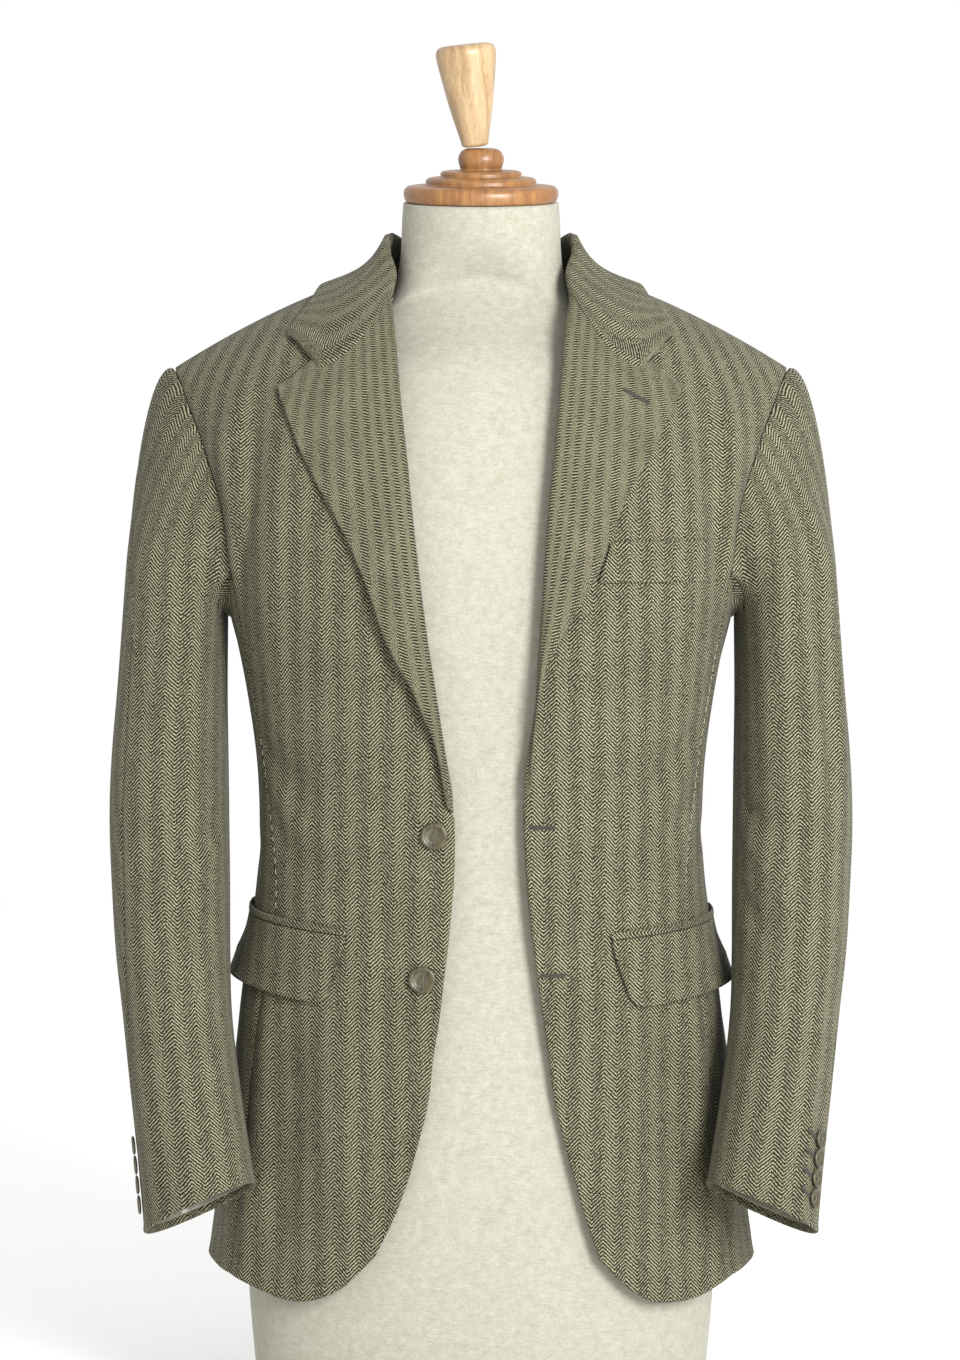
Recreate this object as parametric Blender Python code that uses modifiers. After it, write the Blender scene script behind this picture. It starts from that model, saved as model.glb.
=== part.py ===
"""Two-button blazer, worn open, on a limbless dress form with a turned cap and finial.

Metres, +Z up, the front faces -Y and +X is the viewer's right. The origin is on the
floor under the middle. Heights in the tables are measured from the hem level, which
lies HEM_HEIGHT above the floor. Each cloth piece is a wall: a grid of outer points and
the same grid moved in by the cloth's thickness.
"""
import math

import bmesh
import bpy
import numpy as np
from mathutils import Vector

# ---------------------------------------------------------------- driving sizes
HEM_HEIGHT = 0.085          # hem level above the floor
DEPTH_CENTRE = 0.0087      # moves everything in Y so that the box is centred
CLOTH = 0.0020              # cloth with its canvas
SEAM = 0.0003               # gap between pieces that are sewn together
ON_PANEL = 0.0009           # gap between a panel and what lies on it


COLLECTION = "blazer on dress form"
CLOTH_COLOR = (0.178, 0.163, 0.096)
CLOTH_ROUGHNESS = 0.9
SIDES = {"left": -1, "right": 1}

# ---------------------------------------------------------------- the body's rings
# Each ring is a squared-off ellipse that droops from its centre towards the side.
# The last ring is flat: it is the shoulder line, where the depth has run out.
BODY_RINGS = [
    # centre z, side z, half width, front, back, centre y, squareness
    (-0.040, -0.010, 0.2095, 0.116, 0.113, 0.010, 2.15),
    (0.020, 0.045, 0.2045, 0.118, 0.115, 0.010, 2.15),
    (0.085, 0.105, 0.1975, 0.118, 0.117, 0.010, 2.15),
    (0.150, 0.165, 0.1905, 0.118, 0.117, 0.008, 2.20),
    (0.215, 0.225, 0.1830, 0.117, 0.113, 0.004, 2.25),
    (0.280, 0.285, 0.1725, 0.114, 0.104, 0.001, 2.30),
    (0.345, 0.345, 0.1660, 0.112, 0.094, 0.000, 2.35),
    (0.410, 0.405, 0.1670, 0.114, 0.095, 0.000, 2.35),
    (0.470, 0.460, 0.1745, 0.121, 0.106, 0.000, 2.40),
    (0.528, 0.515, 0.1860, 0.127, 0.118, 0.000, 2.50),
    (0.586, 0.565, 0.1980, 0.127, 0.124, 0.000, 2.60),
    (0.643, 0.607, 0.2110, 0.119, 0.120, 0.000, 2.55),
    (0.698, 0.645, 0.2240, 0.101, 0.104, 0.001, 2.40),
    (0.744, 0.675, 0.2330, 0.074, 0.078, 0.003, 2.25),
    (0.775, 0.693, 0.2380, 0.039, 0.041, 0.004, 2.15),
    (0.793, 0.701, 0.2400, 0.000, 0.000, 0.005, 2.10),
]
SHOULDER_LEVEL = len(BODY_RINGS) - 1
DROOP = 1.7                 # how a ring droops: 1 is straight, more is later

# seams of the side body, in degrees from the front centre, by ring level
FRONT_SIDE_SEAM = [
    (0.5, 62.0), (4.0, 62.0), (5.6, 62.5), (6.1, 66.0), (6.7, 71.0), (7.5, 74.0), (8.6, 73.0), (9.4, 71.0),
]
BACK_SIDE_SEAM = [
    (0.5, 116.0), (4.0, 115.0), (6.0, 113.0), (8.0, 111.0), (9.4, 109.0),
]

# front armhole from the side seam up to the shoulder: half width from the middle at a height
FRONT_ARMHOLE = [
    # height, x
    (0.548, 0.1835), (0.560, 0.1860), (0.578, 0.1875), (0.599, 0.1905), (0.617, 0.1955),
    (0.637, 0.2025), (0.655, 0.2085), (0.676, 0.2175), (0.695, 0.2250), (0.707, 0.2310),
]
BACK_ARMHOLE_INSET = 0.004  # the back's armhole lies this much nearer the middle, halfway up
ARMHOLE_SCOOP = 0.55        # how many ring levels the underarm dips below the side seams

# front edges below the lapels: height and distance from the middle, up from the cut-away corner
EDGE_LEFT = [
    (0.057, 0.0760), (0.086, 0.0620), (0.110, 0.0530), (0.135, 0.0460), (0.166, 0.0382),
    (0.199, 0.0343), (0.230, 0.0295), (0.255, 0.0266), (0.277, 0.0238), (0.306, 0.0210),
    (0.330, 0.0191), (0.354, 0.0186), (0.378, 0.0192),
]
EDGE_RIGHT = [
    (0.055, 0.0850), (0.090, 0.0735), (0.120, 0.0650), (0.148, 0.0580), (0.172, 0.0525),
    (0.200, 0.0487), (0.228, 0.0448), (0.261, 0.0401), (0.297, 0.0353), (0.330, 0.0324),
    (0.360, 0.0305), (0.390, 0.0302),
]
# roll lines, from the lapel's break to the neck point: height and distance from the middle
ROLL_LEFT = [
    (0.378, 0.0192), (0.400, 0.0212), (0.429, 0.0248), (0.471, 0.0312),
    (0.501, 0.0360), (0.531, 0.0401), (0.573, 0.0450), (0.630, 0.0508), (0.665, 0.0548),
    (0.720, 0.0600), (0.745, 0.0630), (0.765, 0.0665), (0.7785, 0.0800),
]
ROLL_RIGHT = [
    (0.390, 0.0302), (0.419, 0.0316), (0.450, 0.0354), (0.488, 0.0375), (0.536, 0.0413),
    (0.582, 0.0452), (0.630, 0.0500), (0.664, 0.0530), (0.698, 0.0562), (0.722, 0.0585),
    (0.745, 0.0620), (0.765, 0.0660), (0.7785, 0.0800),
]
# hems of the fronts, from beyond the cut-away corner to the side seam: distance and height
HEM_LEFT = [(0.099, 0.034), (0.123, 0.0225), (0.144, 0.0215), (0.160, 0.0260), (0.185, 0.0350)]
HEM_RIGHT = [(0.105, 0.034), (0.119, 0.0240), (0.138, 0.0200), (0.158, 0.0220), (0.185, 0.0340)]
NECK_POINT = 0.0800         # shoulder seam starts this far from the middle

# lapels
ROLL_RADIUS = 0.0034        # outside of the fold at the roll line
ROLL_RADIUS_BREAK = 0.0026  # and where the lapel begins
LAPEL_EDGE_LEFT = [
    # height, distance from the middle, from the break to the tip
    (0.382, 0.0250), (0.396, 0.0272), (0.412, 0.0296), (0.429, 0.0334), (0.447, 0.0410),
    (0.4655, 0.0486), (0.4825, 0.0580), (0.5005, 0.0670), (0.525, 0.0755), (0.569, 0.0938),
    (0.618, 0.1200), (0.640, 0.1310), (0.661, 0.1390), (0.683, 0.1477),
]
LAPEL_EDGE_RIGHT = [
    (0.394, 0.0362), (0.430, 0.0378), (0.459, 0.0410), (0.475, 0.0440), (0.490, 0.0497),
    (0.507, 0.0594), (0.530, 0.0716), (0.547, 0.0817), (0.570, 0.0905), (0.6065, 0.1060),
    (0.639, 0.1245), (0.660, 0.1345), (0.6835, 0.1460),
]
# gorge seam from the roll line to the notch: distance and height
GORGE = [(0.0638, 0.7527), (0.0722, 0.7490), (0.0819, 0.7420), (0.1024, 0.7220), (0.1190, 0.7055)]
LAPEL_LIFT = [
    # share of the way up, lift of the outside halfway across and at the edge
    (0.00, 0.0036, 0.0036), (0.15, 0.0085, 0.0080), (0.35, 0.0105, 0.0090),
    (0.65, 0.0075, 0.0052), (1.00, 0.0048, 0.0038),
]

# collar: where its seat and its outer edge lie, from the gorge to the centre back.
# "ahead" counts ring levels in front of the shoulder line, and is negative behind it.
COLLAR_PATHS = [
    # share, seat x, seat ahead, edge x, edge ahead
    (0.00, 0.0672, 1.65, 0.1425, 1.68), (0.15, 0.0672, 1.18, 0.1344, 1.29), (0.30, 0.0765, 0.58, 0.1250, 0.80),
    (0.45, 0.0800, 0.00, 0.1170, 0.00), (0.60, 0.0730, -0.65, 0.1030, -1.00), (0.80, 0.0440, -1.22, 0.0620, -1.95),
    (1.00, 0.0000, -1.40, 0.0000, -2.25),
]
COLLAR_AT_SHOULDER = 0.45   # share at which the collar crosses the shoulder seam
# section of the stand and fold: six points, each as steps along the body and away from it
COLLAR_STAND = [
    (0.00, 0.0000, -0.0010, -0.0014, -0.0005, -0.0023, 0.0007, -0.0023, 0.0021, -0.0014, 0.0033, 0.0000, 0.0038),
    (0.15, 0.0000, 0.0034, -0.0040, 0.0037, -0.0078, 0.0046, -0.0090, 0.0062, -0.0080, 0.0083, -0.0050, 0.0088),
    (0.45, -0.0018, 0.0040, -0.0104, 0.0087, -0.0192, 0.0158, -0.0225, 0.0198, -0.0216, 0.0234, -0.0180, 0.0233),
    (1.00, 0.0000, 0.0038, -0.0079, 0.0097, -0.0190, 0.0185, -0.0255, 0.0240, -0.0258, 0.0285, -0.0215, 0.0295),
]
COLLAR_FALL_LIFT = [
    # share, lift of the outer edge, how steeply the fall drops to it from the fold
    (0.00, 0.0028, 1.3), (0.15, 0.0030, 2.5), (0.45, 0.0032, 4.6), (0.70, 0.0032, 3.4), (1.00, 0.0032, 2.6),
]
COLLAR_STATIONS = 13        # from the gorge to the centre back
COLLAR_FALL = 6             # columns across the fall

# ---------------------------------------------------------------- the sleeves' rings
# Level 0 is the armhole, level 1 the ring at the top of the arm, the last one the cuff.
SLEEVE_RINGS = [
    # level, centre x, y, z, half width, half depth, squareness, fall outwards, rise forwards
    (1.0, 0.2275, 0.000, 0.537, 0.0378, 0.0650, 2.20, 0.45, 0.00),
    (2.0, 0.2302, -0.002, 0.470, 0.0402, 0.0665, 2.25, 0.20, 0.00),
    (3.0, 0.2320, -0.007, 0.412, 0.0431, 0.0655, 2.30, 0.05, 0.00),
    (4.0, 0.2318, -0.015, 0.368, 0.0440, 0.0630, 2.30, 0.00, 0.02),
    (5.0, 0.2296, -0.027, 0.320, 0.0433, 0.0595, 2.30, 0.00, 0.06),
    (6.0, 0.2270, -0.039, 0.273, 0.0418, 0.0565, 2.30, -0.02, 0.10),
    (7.0, 0.2228, -0.052, 0.229, 0.0397, 0.0535, 2.25, -0.06, 0.14),
    (8.0, 0.2165, -0.067, 0.182, 0.0392, 0.0510, 2.25, -0.16, 0.18),
    (9.0, 0.2095, -0.081, 0.136, 0.0392, 0.0495, 2.20, -0.30, 0.21),
    (10.0, 0.2025, -0.096, 0.0905, 0.0398, 0.0485, 2.20, -0.45, 0.22),
]
CUFF_LEVEL = SLEEVE_RINGS[-1][0]
# seams of the two-piece sleeve: level, hindarm angle on the left and the right, forearm angle
SLEEVE_SEAMS = [
    (0.0, -49.1, -49.1, 130.9), (0.35, -22.0, -36.0, 140.0), (0.6, 0.0, -24.0, 147.0),
    (0.8, 22.0, -14.0, 152.0), (1.0, 37.0, -5.0, 156.0), (2.0, 47.0, 8.0, 170.0),
    (4.0, 48.0, 14.0, 182.0), (6.0, 42.0, 18.0, 185.0), (8.0, 22.0, 20.0, 185.0), (10.0, -8.0, 20.0, 185.0),
]
HINDARM_POINT = 19          # point of the armhole at which the hindarm seam starts
FOREARM_POINT = 8
CAP_LEVELS = (0.0, 0.07, 0.16, 0.27, 0.40, 0.56, 0.77, 1.0)
ARM_LEVELS = (1.7, 2.4, 3.1, 3.8, 4.6, 5.5, 6.4, 7.3, 8.2, 9.1, 10.0)
CAP_LEAN = (0.8, 0.6)       # how the cap leaves the armhole: along the body, and away from it
CAP_PULL = 0.40             # length of that start, as a share of the way to the first ring
CAP_PULL_LEAST = 0.022

# ---------------------------------------------------------------- pockets
# Hip flap: angle and height of its seam's ends, and how deep it hangs at each
FLAP_SEAM = {
    -1: ((31.0, 0.2870), (97.0, 0.3030)),
    1: ((29.5, 0.2840), (97.0, 0.2985)),
}
FLAP_DEPTH = (0.0500, 0.0470)
FLAP_SLANT = 3.5            # degrees by which the front edge runs back on its way down
FLAP_CORNER = 0.014         # radius of its lower corners
FLAP_FLARE = [(0.0, 0.0034), (0.5, 0.0055), (0.8, 0.0095), (1.0, 0.0100)]  # lift of its foot, front to back
FLAP_SHARES = (0.0, 0.02, 0.06, 0.13, 0.28, 0.45, 0.62, 0.80, 0.89, 0.95, 0.98, 1.0)
JET_HEIGHT = 0.0058
JET_LIFT = 0.0034           # outside of a jet above the panel
WELT = ((0.0830, 0.5410), (0.1610, 0.5430), (0.1610, 0.5735), (0.0930, 0.5705))  # corners, from the inner foot

# ---------------------------------------------------------------- buttons
FRONT_BUTTONS = ((0.0335, 0.3600), (0.0420, 0.2570))  # distance and height, on the left front
FRONT_BUTTON = 0.0200       # diameter
CUFF_BUTTON = 0.0140
CUFF_BUTTON_PITCH = 0.0144
CUFF_BUTTON_FOOT = 0.0200   # lowest button's centre above the cuff's edge
CUFF_BUTTON_ANGLE = {-1: 12.0, 1: 38.0}
BUTTON_SHANK = 0.0008       # thread shank, the gap under a button
# half section from the middle of the face round to the middle of the back, as shares of the radius
BUTTON_PROFILE = (
    (0.00, 0.17), (0.55, 0.17), (0.70, 0.30), (0.86, 0.34), (0.97, 0.27), (1.00, 0.16), (0.80, 0.03), (0.00, 0.00),
)

# ---------------------------------------------------------------- sleeve lining at the cuffs
LINING = 0.0010
LINING_LEVELS = (8.9, 9.45, 9.88)

# ---------------------------------------------------------------- the dress form
FORM_RINGS = [
    # centre z, side z, half width, front, back, centre y, squareness
    (-0.0667, -0.0667, 0.1660, 0.096, 0.096, 0.006, 2.20),
    (0.020, 0.020, 0.1740, 0.102, 0.102, 0.008, 2.20),
    (0.110, 0.110, 0.1760, 0.106, 0.106, 0.008, 2.20),
    (0.190, 0.190, 0.1710, 0.104, 0.103, 0.004, 2.20),
    (0.270, 0.270, 0.1590, 0.100, 0.092, 0.001, 2.20),
    (0.345, 0.345, 0.1530, 0.098, 0.082, 0.000, 2.20),
    (0.420, 0.415, 0.1560, 0.103, 0.087, 0.000, 2.25),
    (0.500, 0.490, 0.1660, 0.112, 0.100, 0.000, 2.30),
    (0.570, 0.550, 0.1720, 0.114, 0.108, 0.000, 2.35),
    (0.640, 0.600, 0.1760, 0.105, 0.107, 0.000, 2.30),
    (0.700, 0.640, 0.1780, 0.086, 0.093, 0.001, 2.25),
    (0.738, 0.660, 0.1700, 0.057, 0.065, 0.003, 2.15),
    (0.758, 0.682, 0.1460, 0.043, 0.050, 0.002, 2.10),
    (0.770, 0.720, 0.1020, 0.038, 0.044, 0.000, 2.05),
    (0.782, 0.753, 0.0700, 0.042, 0.045, -0.003, 2.00),
    (0.797, 0.782, 0.0610, 0.048, 0.048, -0.006, 2.00),
    (0.8150, 0.8150, 0.0590, 0.053, 0.052, -0.007, 2.00),
    (0.8285, 0.8285, 0.0580, 0.053, 0.052, -0.007, 2.00),
]
FORM_COLUMNS = 24
NECK_TILT = math.radians(11)  # the top of the neck and the cap lean forward
NECK_TILT_FROM = 0.745      # height at which that lean begins
FINIAL_LEAN = math.radians(-6)
CAP_PROFILE = (
    # radius, height above the neck, from the top's middle down
    (0.0000, 0.0400), (0.0110, 0.0400), (0.0150, 0.0380), (0.0175, 0.0325), (0.0160, 0.0265), (0.0150, 0.0240),
    (0.0285, 0.0235), (0.0305, 0.0215), (0.0300, 0.0190), (0.0390, 0.0185), (0.0415, 0.0160), (0.0410, 0.0130),
    (0.0545, 0.0125), (0.0575, 0.0095), (0.0580, 0.0055), (0.0565, 0.0010), (0.0550, 0.0000), (0.0000, 0.0000),
)
FINIAL_PROFILE = (
    (0.0000, 0.1170), (0.0165, 0.1168), (0.0208, 0.1152), (0.0225, 0.1115), (0.0222, 0.1060), (0.0196, 0.0900),
    (0.0160, 0.0700), (0.0128, 0.0560), (0.0106, 0.0470), (0.0098, 0.0414), (0.0000, 0.0414),
)
BASE_SIZE = (0.300, 0.190, 0.018)
BASE_CORNER = 0.006
LINEN_COLOR = (0.60, 0.55, 0.45)
BEECH_COLOR = (0.55, 0.32, 0.15)
HORN_COLOR = (0.085, 0.065, 0.030)
SATIN_COLOR = (0.35, 0.36, 0.37)

# ---------------------------------------------------------------- how finely pieces are divided
SEAM_ROWS = 15              # up the side seams
ARM_ROWS = 8                # up each armhole
FRONT_COLUMNS = 9
SIDE_COLUMNS = 6
BACK_COLUMNS = 8
NAPE_COLUMNS = 3            # of the back's columns, those along the neck
BREAK_ROW = {-1: 11, 1: 11}  # row of the front's edge at which the lapel begins
LAPEL_COLUMNS = 6
NOTCH_COLUMNS = 2           # of a lapel's or the collar's columns, those beyond the notch
ROLL_GROWTH_ROWS = 3        # rows over which the fold grows to its full radius
FLAP_ROWS = 4
WELT_COLUMNS = 5
LINING_COLUMNS = 22
ROLL_TURN = (-90, -126, -162, -198, -234)  # directions of the points round the lapel's fold


# ---------------------------------------------------------------- curves and surfaces
def smooth(table, at):
    """Cubic curve through a table's rows; the first column is where each row lies."""
    rows = np.array(table, dtype=float)
    keys = rows[:, 0]
    values = rows[:, 1:]
    at = np.clip(np.asarray(at, dtype=float), keys[0], keys[-1])
    low = np.clip(np.searchsorted(keys, at, side="right") - 1, 0, len(keys) - 2)
    slope = np.gradient(values, keys, axis=0)
    step = (keys[low + 1] - keys[low])[..., None]
    t = (at[..., None] - keys[low][..., None]) / step
    return ((2 * t**3 - 3 * t**2 + 1) * values[low] + (t**3 - 2 * t**2 + t) * step * slope[low]
            + (3 * t**2 - 2 * t**3) * values[low + 1] + (t**3 - t**2) * step * slope[low + 1])


def numbered(rings):
    """Rings with their number in front, and one past the shoulder that mirrors the last but one."""
    past = list(rings[-2])
    past[3] = -past[3]
    past[4] = -past[4]
    return [(i, *ring) for i, ring in enumerate(list(rings) + [past])]


BODY_TABLE = numbered(BODY_RINGS)


def ring_point(table, angle, level):
    """Point on a table's rings: angle in degrees from the front centre, +X side positive."""
    ring = smooth(table, level)
    centre_z, side_z, width, front, back, centre_y, square = np.moveaxis(ring, -1, 0)
    sine = np.sin(np.radians(angle))
    cosine = np.cos(np.radians(angle))
    across = np.sign(sine) * np.abs(sine) ** (2 / square)
    deep = np.abs(cosine) ** (2 / square)
    x = width * across
    y = centre_y - np.where(cosine > 0, front * deep, -back * deep)
    z = centre_z + (side_z - centre_z) * np.abs(across) ** DROOP
    return np.stack([x, y, z], axis=-1)


def body(angle, level):
    """Point of the blazer's outside."""
    return ring_point(BODY_TABLE, angle, level)


def outward(surface, u, v, du=0.05, dv=0.002):
    """Unit normals of a surface function, by small differences."""
    along = surface(u + du, v) - surface(u - du, v)
    up = surface(u, v + dv) - surface(u, v - dv)
    normal = np.cross(along, up)
    return normal / np.linalg.norm(normal, axis=-1, keepdims=True)


def ring_angle(x, level):
    """Angle at which a ring reaches the distance x from the middle, on the front."""
    ring = smooth(BODY_TABLE, level)
    share = np.clip(np.abs(x) / ring[..., 2], 0, 1)
    return np.sign(x) * np.degrees(np.arcsin(share ** (ring[..., 6] / 2)))


def locate(x, z):
    """Angle and level of the front point at x and height z, by halving the levels."""
    x, z = np.broadcast_arrays(np.asarray(x, dtype=float), np.asarray(z, dtype=float))
    low = np.zeros_like(z)
    high = np.full_like(z, float(SHOULDER_LEVEL))
    for _ in range(30):
        middle = (low + high) / 2
        ring = smooth(BODY_TABLE, middle)
        share = np.clip(np.abs(x) / ring[..., 2], 0, 1)
        below = ring[..., 0] + (ring[..., 1] - ring[..., 0]) * share**DROOP < z
        low = np.where(below, middle, low)
        high = np.where(below, high, middle)
    return ring_angle(x, low), low


def level_at(angle, height):
    """Level at which the body reaches a height at the given angle, by halving the levels."""
    angle, height = np.broadcast_arrays(np.asarray(angle, dtype=float), np.asarray(height, dtype=float))
    low = np.zeros_like(height)
    high = np.full_like(height, float(SHOULDER_LEVEL))
    for _ in range(30):
        middle = (low + high) / 2
        below = body(angle, middle)[..., 2] < height
        low = np.where(below, middle, low)
        high = np.where(below, high, middle)
    return low


def on_body(angle, level, lift=0.0):
    """Body point moved out by lift."""
    lift = np.asarray(lift, dtype=float)
    return body(angle, level) + outward(body, angle, level) * lift[..., None]


def coons(left, right, bottom, top):
    """Grid of plane points inside four edges; rows run from bottom to top."""
    s = np.linspace(0, 1, len(bottom))[None, :, None]
    t = np.linspace(0, 1, len(left))[:, None, None]
    left, right = np.asarray(left)[:, None], np.asarray(right)[:, None]
    bottom, top = np.asarray(bottom)[None], np.asarray(top)[None]
    corners = ((1 - s) * (1 - t) * bottom[:, :1] + s * (1 - t) * bottom[:, -1:]
               + (1 - s) * t * top[:, :1] + s * t * top[:, -1:])
    return (1 - s) * left + s * right + (1 - t) * bottom + t * top - corners


def meet(path, start, end):
    """Path moved bit by bit so that its ends lie on two given points."""
    share = np.linspace(0, 1, len(path))[:, None]
    return path + (1 - share) * (np.asarray(start) - path[0]) + share * (np.asarray(end) - path[-1])


def located(x, z):
    """Angles and levels of front points, as one array."""
    return np.stack(locate(x, z), axis=-1)


# ---------------------------------------------------------------- outlines of the body's panels
def armhole(back=False):
    """Up the armhole from the side body's seam to the shoulder, in angle and level."""
    heights = np.linspace(FRONT_ARMHOLE[0][0], FRONT_ARMHOLE[-1][0], ARM_ROWS + 1)
    x = smooth(FRONT_ARMHOLE, heights)[:, 0]
    if back:
        x = x - BACK_ARMHOLE_INSET * np.sin(np.linspace(0, math.pi, ARM_ROWS + 1))
    path = located(x, heights)
    path[-1] = (ring_angle(x[-1], SHOULDER_LEVEL), SHOULDER_LEVEL)
    if back:
        path[:, 0] = 180 - path[:, 0]
    return path


def side_seam(table, foot, top):
    """Seam of the side body from the hem to the armhole, in angle and level."""
    levels = np.linspace(foot[1], top[1], SEAM_ROWS + 1)
    return meet(np.stack([smooth(table, levels)[:, 0], levels], axis=-1), foot, top)


def edge_heights(side):
    """Heights of the rows of a front's free edge."""
    roll = ROLL_LEFT if side < 0 else ROLL_RIGHT
    edge = EDGE_LEFT if side < 0 else EDGE_RIGHT
    below = np.linspace(edge[0][0], edge[-1][0], BREAK_ROW[side] + 1)
    above = np.linspace(roll[0][0], roll[-1][0], SEAM_ROWS + ARM_ROWS - BREAK_ROW[side] + 1)
    return below, above


def roll_radius(side):
    """Radius of the lapel's fold at each row of the free edge above the break."""
    rows = SEAM_ROWS + ARM_ROWS - BREAK_ROW[side] + 1
    growth = np.clip(np.arange(rows) / ROLL_GROWTH_ROWS, 0, 1)
    return ROLL_RADIUS_BREAK + (ROLL_RADIUS - ROLL_RADIUS_BREAK) * growth


def free_edge(side):
    """The front's edge from the cut-away corner to the neck point, in distance and height.

    Above the break it is where the cloth starts to turn back, one fold radius in."""
    below, above = edge_heights(side)
    edge, roll = (EDGE_LEFT, ROLL_LEFT) if side < 0 else (EDGE_RIGHT, ROLL_RIGHT)
    x_below = smooth(edge, below)[:, 0]
    x_above = smooth(roll, above)[:, 0] + roll_radius(side)
    x_above[-1] = NECK_POINT
    x = np.concatenate([x_below[:-1], x_above])
    return x, np.concatenate([below[:-1], above])


def front_outline(side):
    """The four edges of a front, in angle and level."""
    x, z = free_edge(side)
    left = located(x, z)
    left[-1] = (ring_angle(NECK_POINT, SHOULDER_LEVEL), SHOULDER_LEVEL)
    table = [(x[0], z[0])] + (HEM_LEFT if side < 0 else HEM_RIGHT)
    hem_x = np.linspace(x[0], table[-1][0], FRONT_COLUMNS + 1)
    bottom = located(hem_x, smooth(table, hem_x)[:, 0])
    arm = armhole()
    right = np.concatenate([side_seam(FRONT_SIDE_SEAM, bottom[-1], arm[0])[:-1], arm])
    top = np.linspace(left[-1], arm[-1], FRONT_COLUMNS + 1)
    return left, right, bottom, top


def side_outline(side):
    """The four edges of a side body."""
    left = front_outline(side)[1][:SEAM_ROWS + 1]
    arm = armhole(back=True)
    foot = (BACK_SIDE_SEAM[0][1], 1.0)
    right = side_seam(BACK_SIDE_SEAM, foot, arm[0])
    bottom = np.linspace(left[0], right[0], SIDE_COLUMNS + 1)
    top = np.linspace(left[-1], right[-1], SIDE_COLUMNS + 1)
    top[:, 1] -= ARMHOLE_SCOOP * np.sin(np.linspace(0, math.pi, SIDE_COLUMNS + 1))
    return left, right, bottom, top


def back_outline():
    """The four edges of a back, from its side seam to the centre."""
    arm = armhole(back=True)
    foot = (BACK_SIDE_SEAM[0][1], 1.0)
    left = np.concatenate([side_seam(BACK_SIDE_SEAM, foot, arm[0])[:-1], arm])
    x, ahead = smooth(COLLAR_PATHS, np.linspace(COLLAR_AT_SHOULDER, 1, NAPE_COLUMNS + 1))[:, :2].T
    neck = np.stack([180 - ring_angle(x, SHOULDER_LEVEL + ahead), SHOULDER_LEVEL + ahead], axis=-1)
    levels = np.linspace(1.0, neck[-1][1], SEAM_ROWS + ARM_ROWS + 1)
    right = np.stack([np.full_like(levels, 180.0), levels], axis=-1)
    bottom = np.linspace(left[0], right[0], BACK_COLUMNS + 1)
    turn = BACK_COLUMNS - NAPE_COLUMNS
    top = np.concatenate([np.linspace(left[-1], neck[0], turn + 1)[:-1], neck])
    return left, right, bottom, top


# ---------------------------------------------------------------- walls
def trimmed(grid, left=0.0, right=0.0, bottom=0.0, top=0.0):
    """Grid with its edges drawn in along the cloth, which leaves the gap at a seam."""
    grid = grid.copy()
    for axis, end, gap in ((1, 0, left), (1, -1, right), (0, 0, bottom), (0, -1, top)):
        rim = np.take(grid, end, axis=axis)
        inside = np.take(grid, 1 if end == 0 else -2, axis=axis)
        step = inside - rim
        rim = rim + step * (gap / np.linalg.norm(step, axis=-1, keepdims=True))
        if axis:
            grid[:, end] = rim
        else:
            grid[end] = rim
    return grid


def link(name, mesh, color, roughness, metallic=0.0):
    """Object of a mesh, with its own material, in the blazer's collection."""
    material = bpy.data.materials.new(name)
    material.use_nodes = True
    shader = material.node_tree.nodes["Principled BSDF"]
    shader.inputs["Base Color"].default_value = (*color, 1.0)
    shader.inputs["Roughness"].default_value = roughness
    shader.inputs["Metallic"].default_value = metallic
    mesh.materials.append(material)
    piece = bpy.data.objects.new(name, mesh)
    bpy.data.collections[COLLECTION].objects.link(piece)
    piece.location = (0.0, DEPTH_CENTRE, HEM_HEIGHT)
    return piece


def wall(name, outer, inner, color=CLOTH_COLOR, roughness=CLOTH_ROUGHNESS, tube=False):
    """Closed wall between two grids; a tube's last column meets its first."""
    mesh = bmesh.new()
    rows, columns = outer.shape[:2]
    skins = [[[mesh.verts.new(Vector(point)) for point in row] for row in grid] for grid in (outer, inner)]
    last = columns if tube else columns - 1
    for skin in skins:
        for i in range(rows - 1):
            for j in range(last):
                k = (j + 1) % columns
                mesh.faces.new((skin[i][j], skin[i][k], skin[i + 1][k], skin[i + 1][j]))
    front, back = skins
    for j in range(last):
        k = (j + 1) % columns
        for i in (0, rows - 1):
            mesh.faces.new((front[i][j], front[i][k], back[i][k], back[i][j]))
    if not tube:
        for i in range(rows - 1):
            for j in (0, columns - 1):
                mesh.faces.new((front[i][j], front[i + 1][j], back[i + 1][j], back[i][j]))
    bmesh.ops.recalc_face_normals(mesh, faces=mesh.faces)
    if mesh.calc_volume(signed=True) < 0:
        bmesh.ops.reverse_faces(mesh, faces=mesh.faces)
    data = bpy.data.meshes.new(name)
    mesh.to_mesh(data)
    mesh.free()
    data.shade_smooth()
    data.set_sharp_from_angle(angle=math.radians(40))
    return link(name, data, color, roughness)


def panel(name, outline, side, sewn):
    """A body panel between its edges; sewn says which of them meet another panel."""
    grid = coons(*outline)
    grid[..., 0] *= side
    outer = on_body(grid[..., 0], grid[..., 1])
    inner = on_body(grid[..., 0], grid[..., 1], np.full(grid.shape[:2], -CLOTH))
    gaps = {edge: SEAM / 2 for edge in sewn}
    return wall(name, trimmed(outer, **gaps), trimmed(inner, **gaps))


# ---------------------------------------------------------------- sleeves
def armhole_loop():
    """Round the armhole from the shoulder down the front, under and up the back."""
    under = side_outline(1)[3]
    return np.concatenate([armhole()[::-1], under[1:-1], armhole(back=True)[:-1]])


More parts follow.
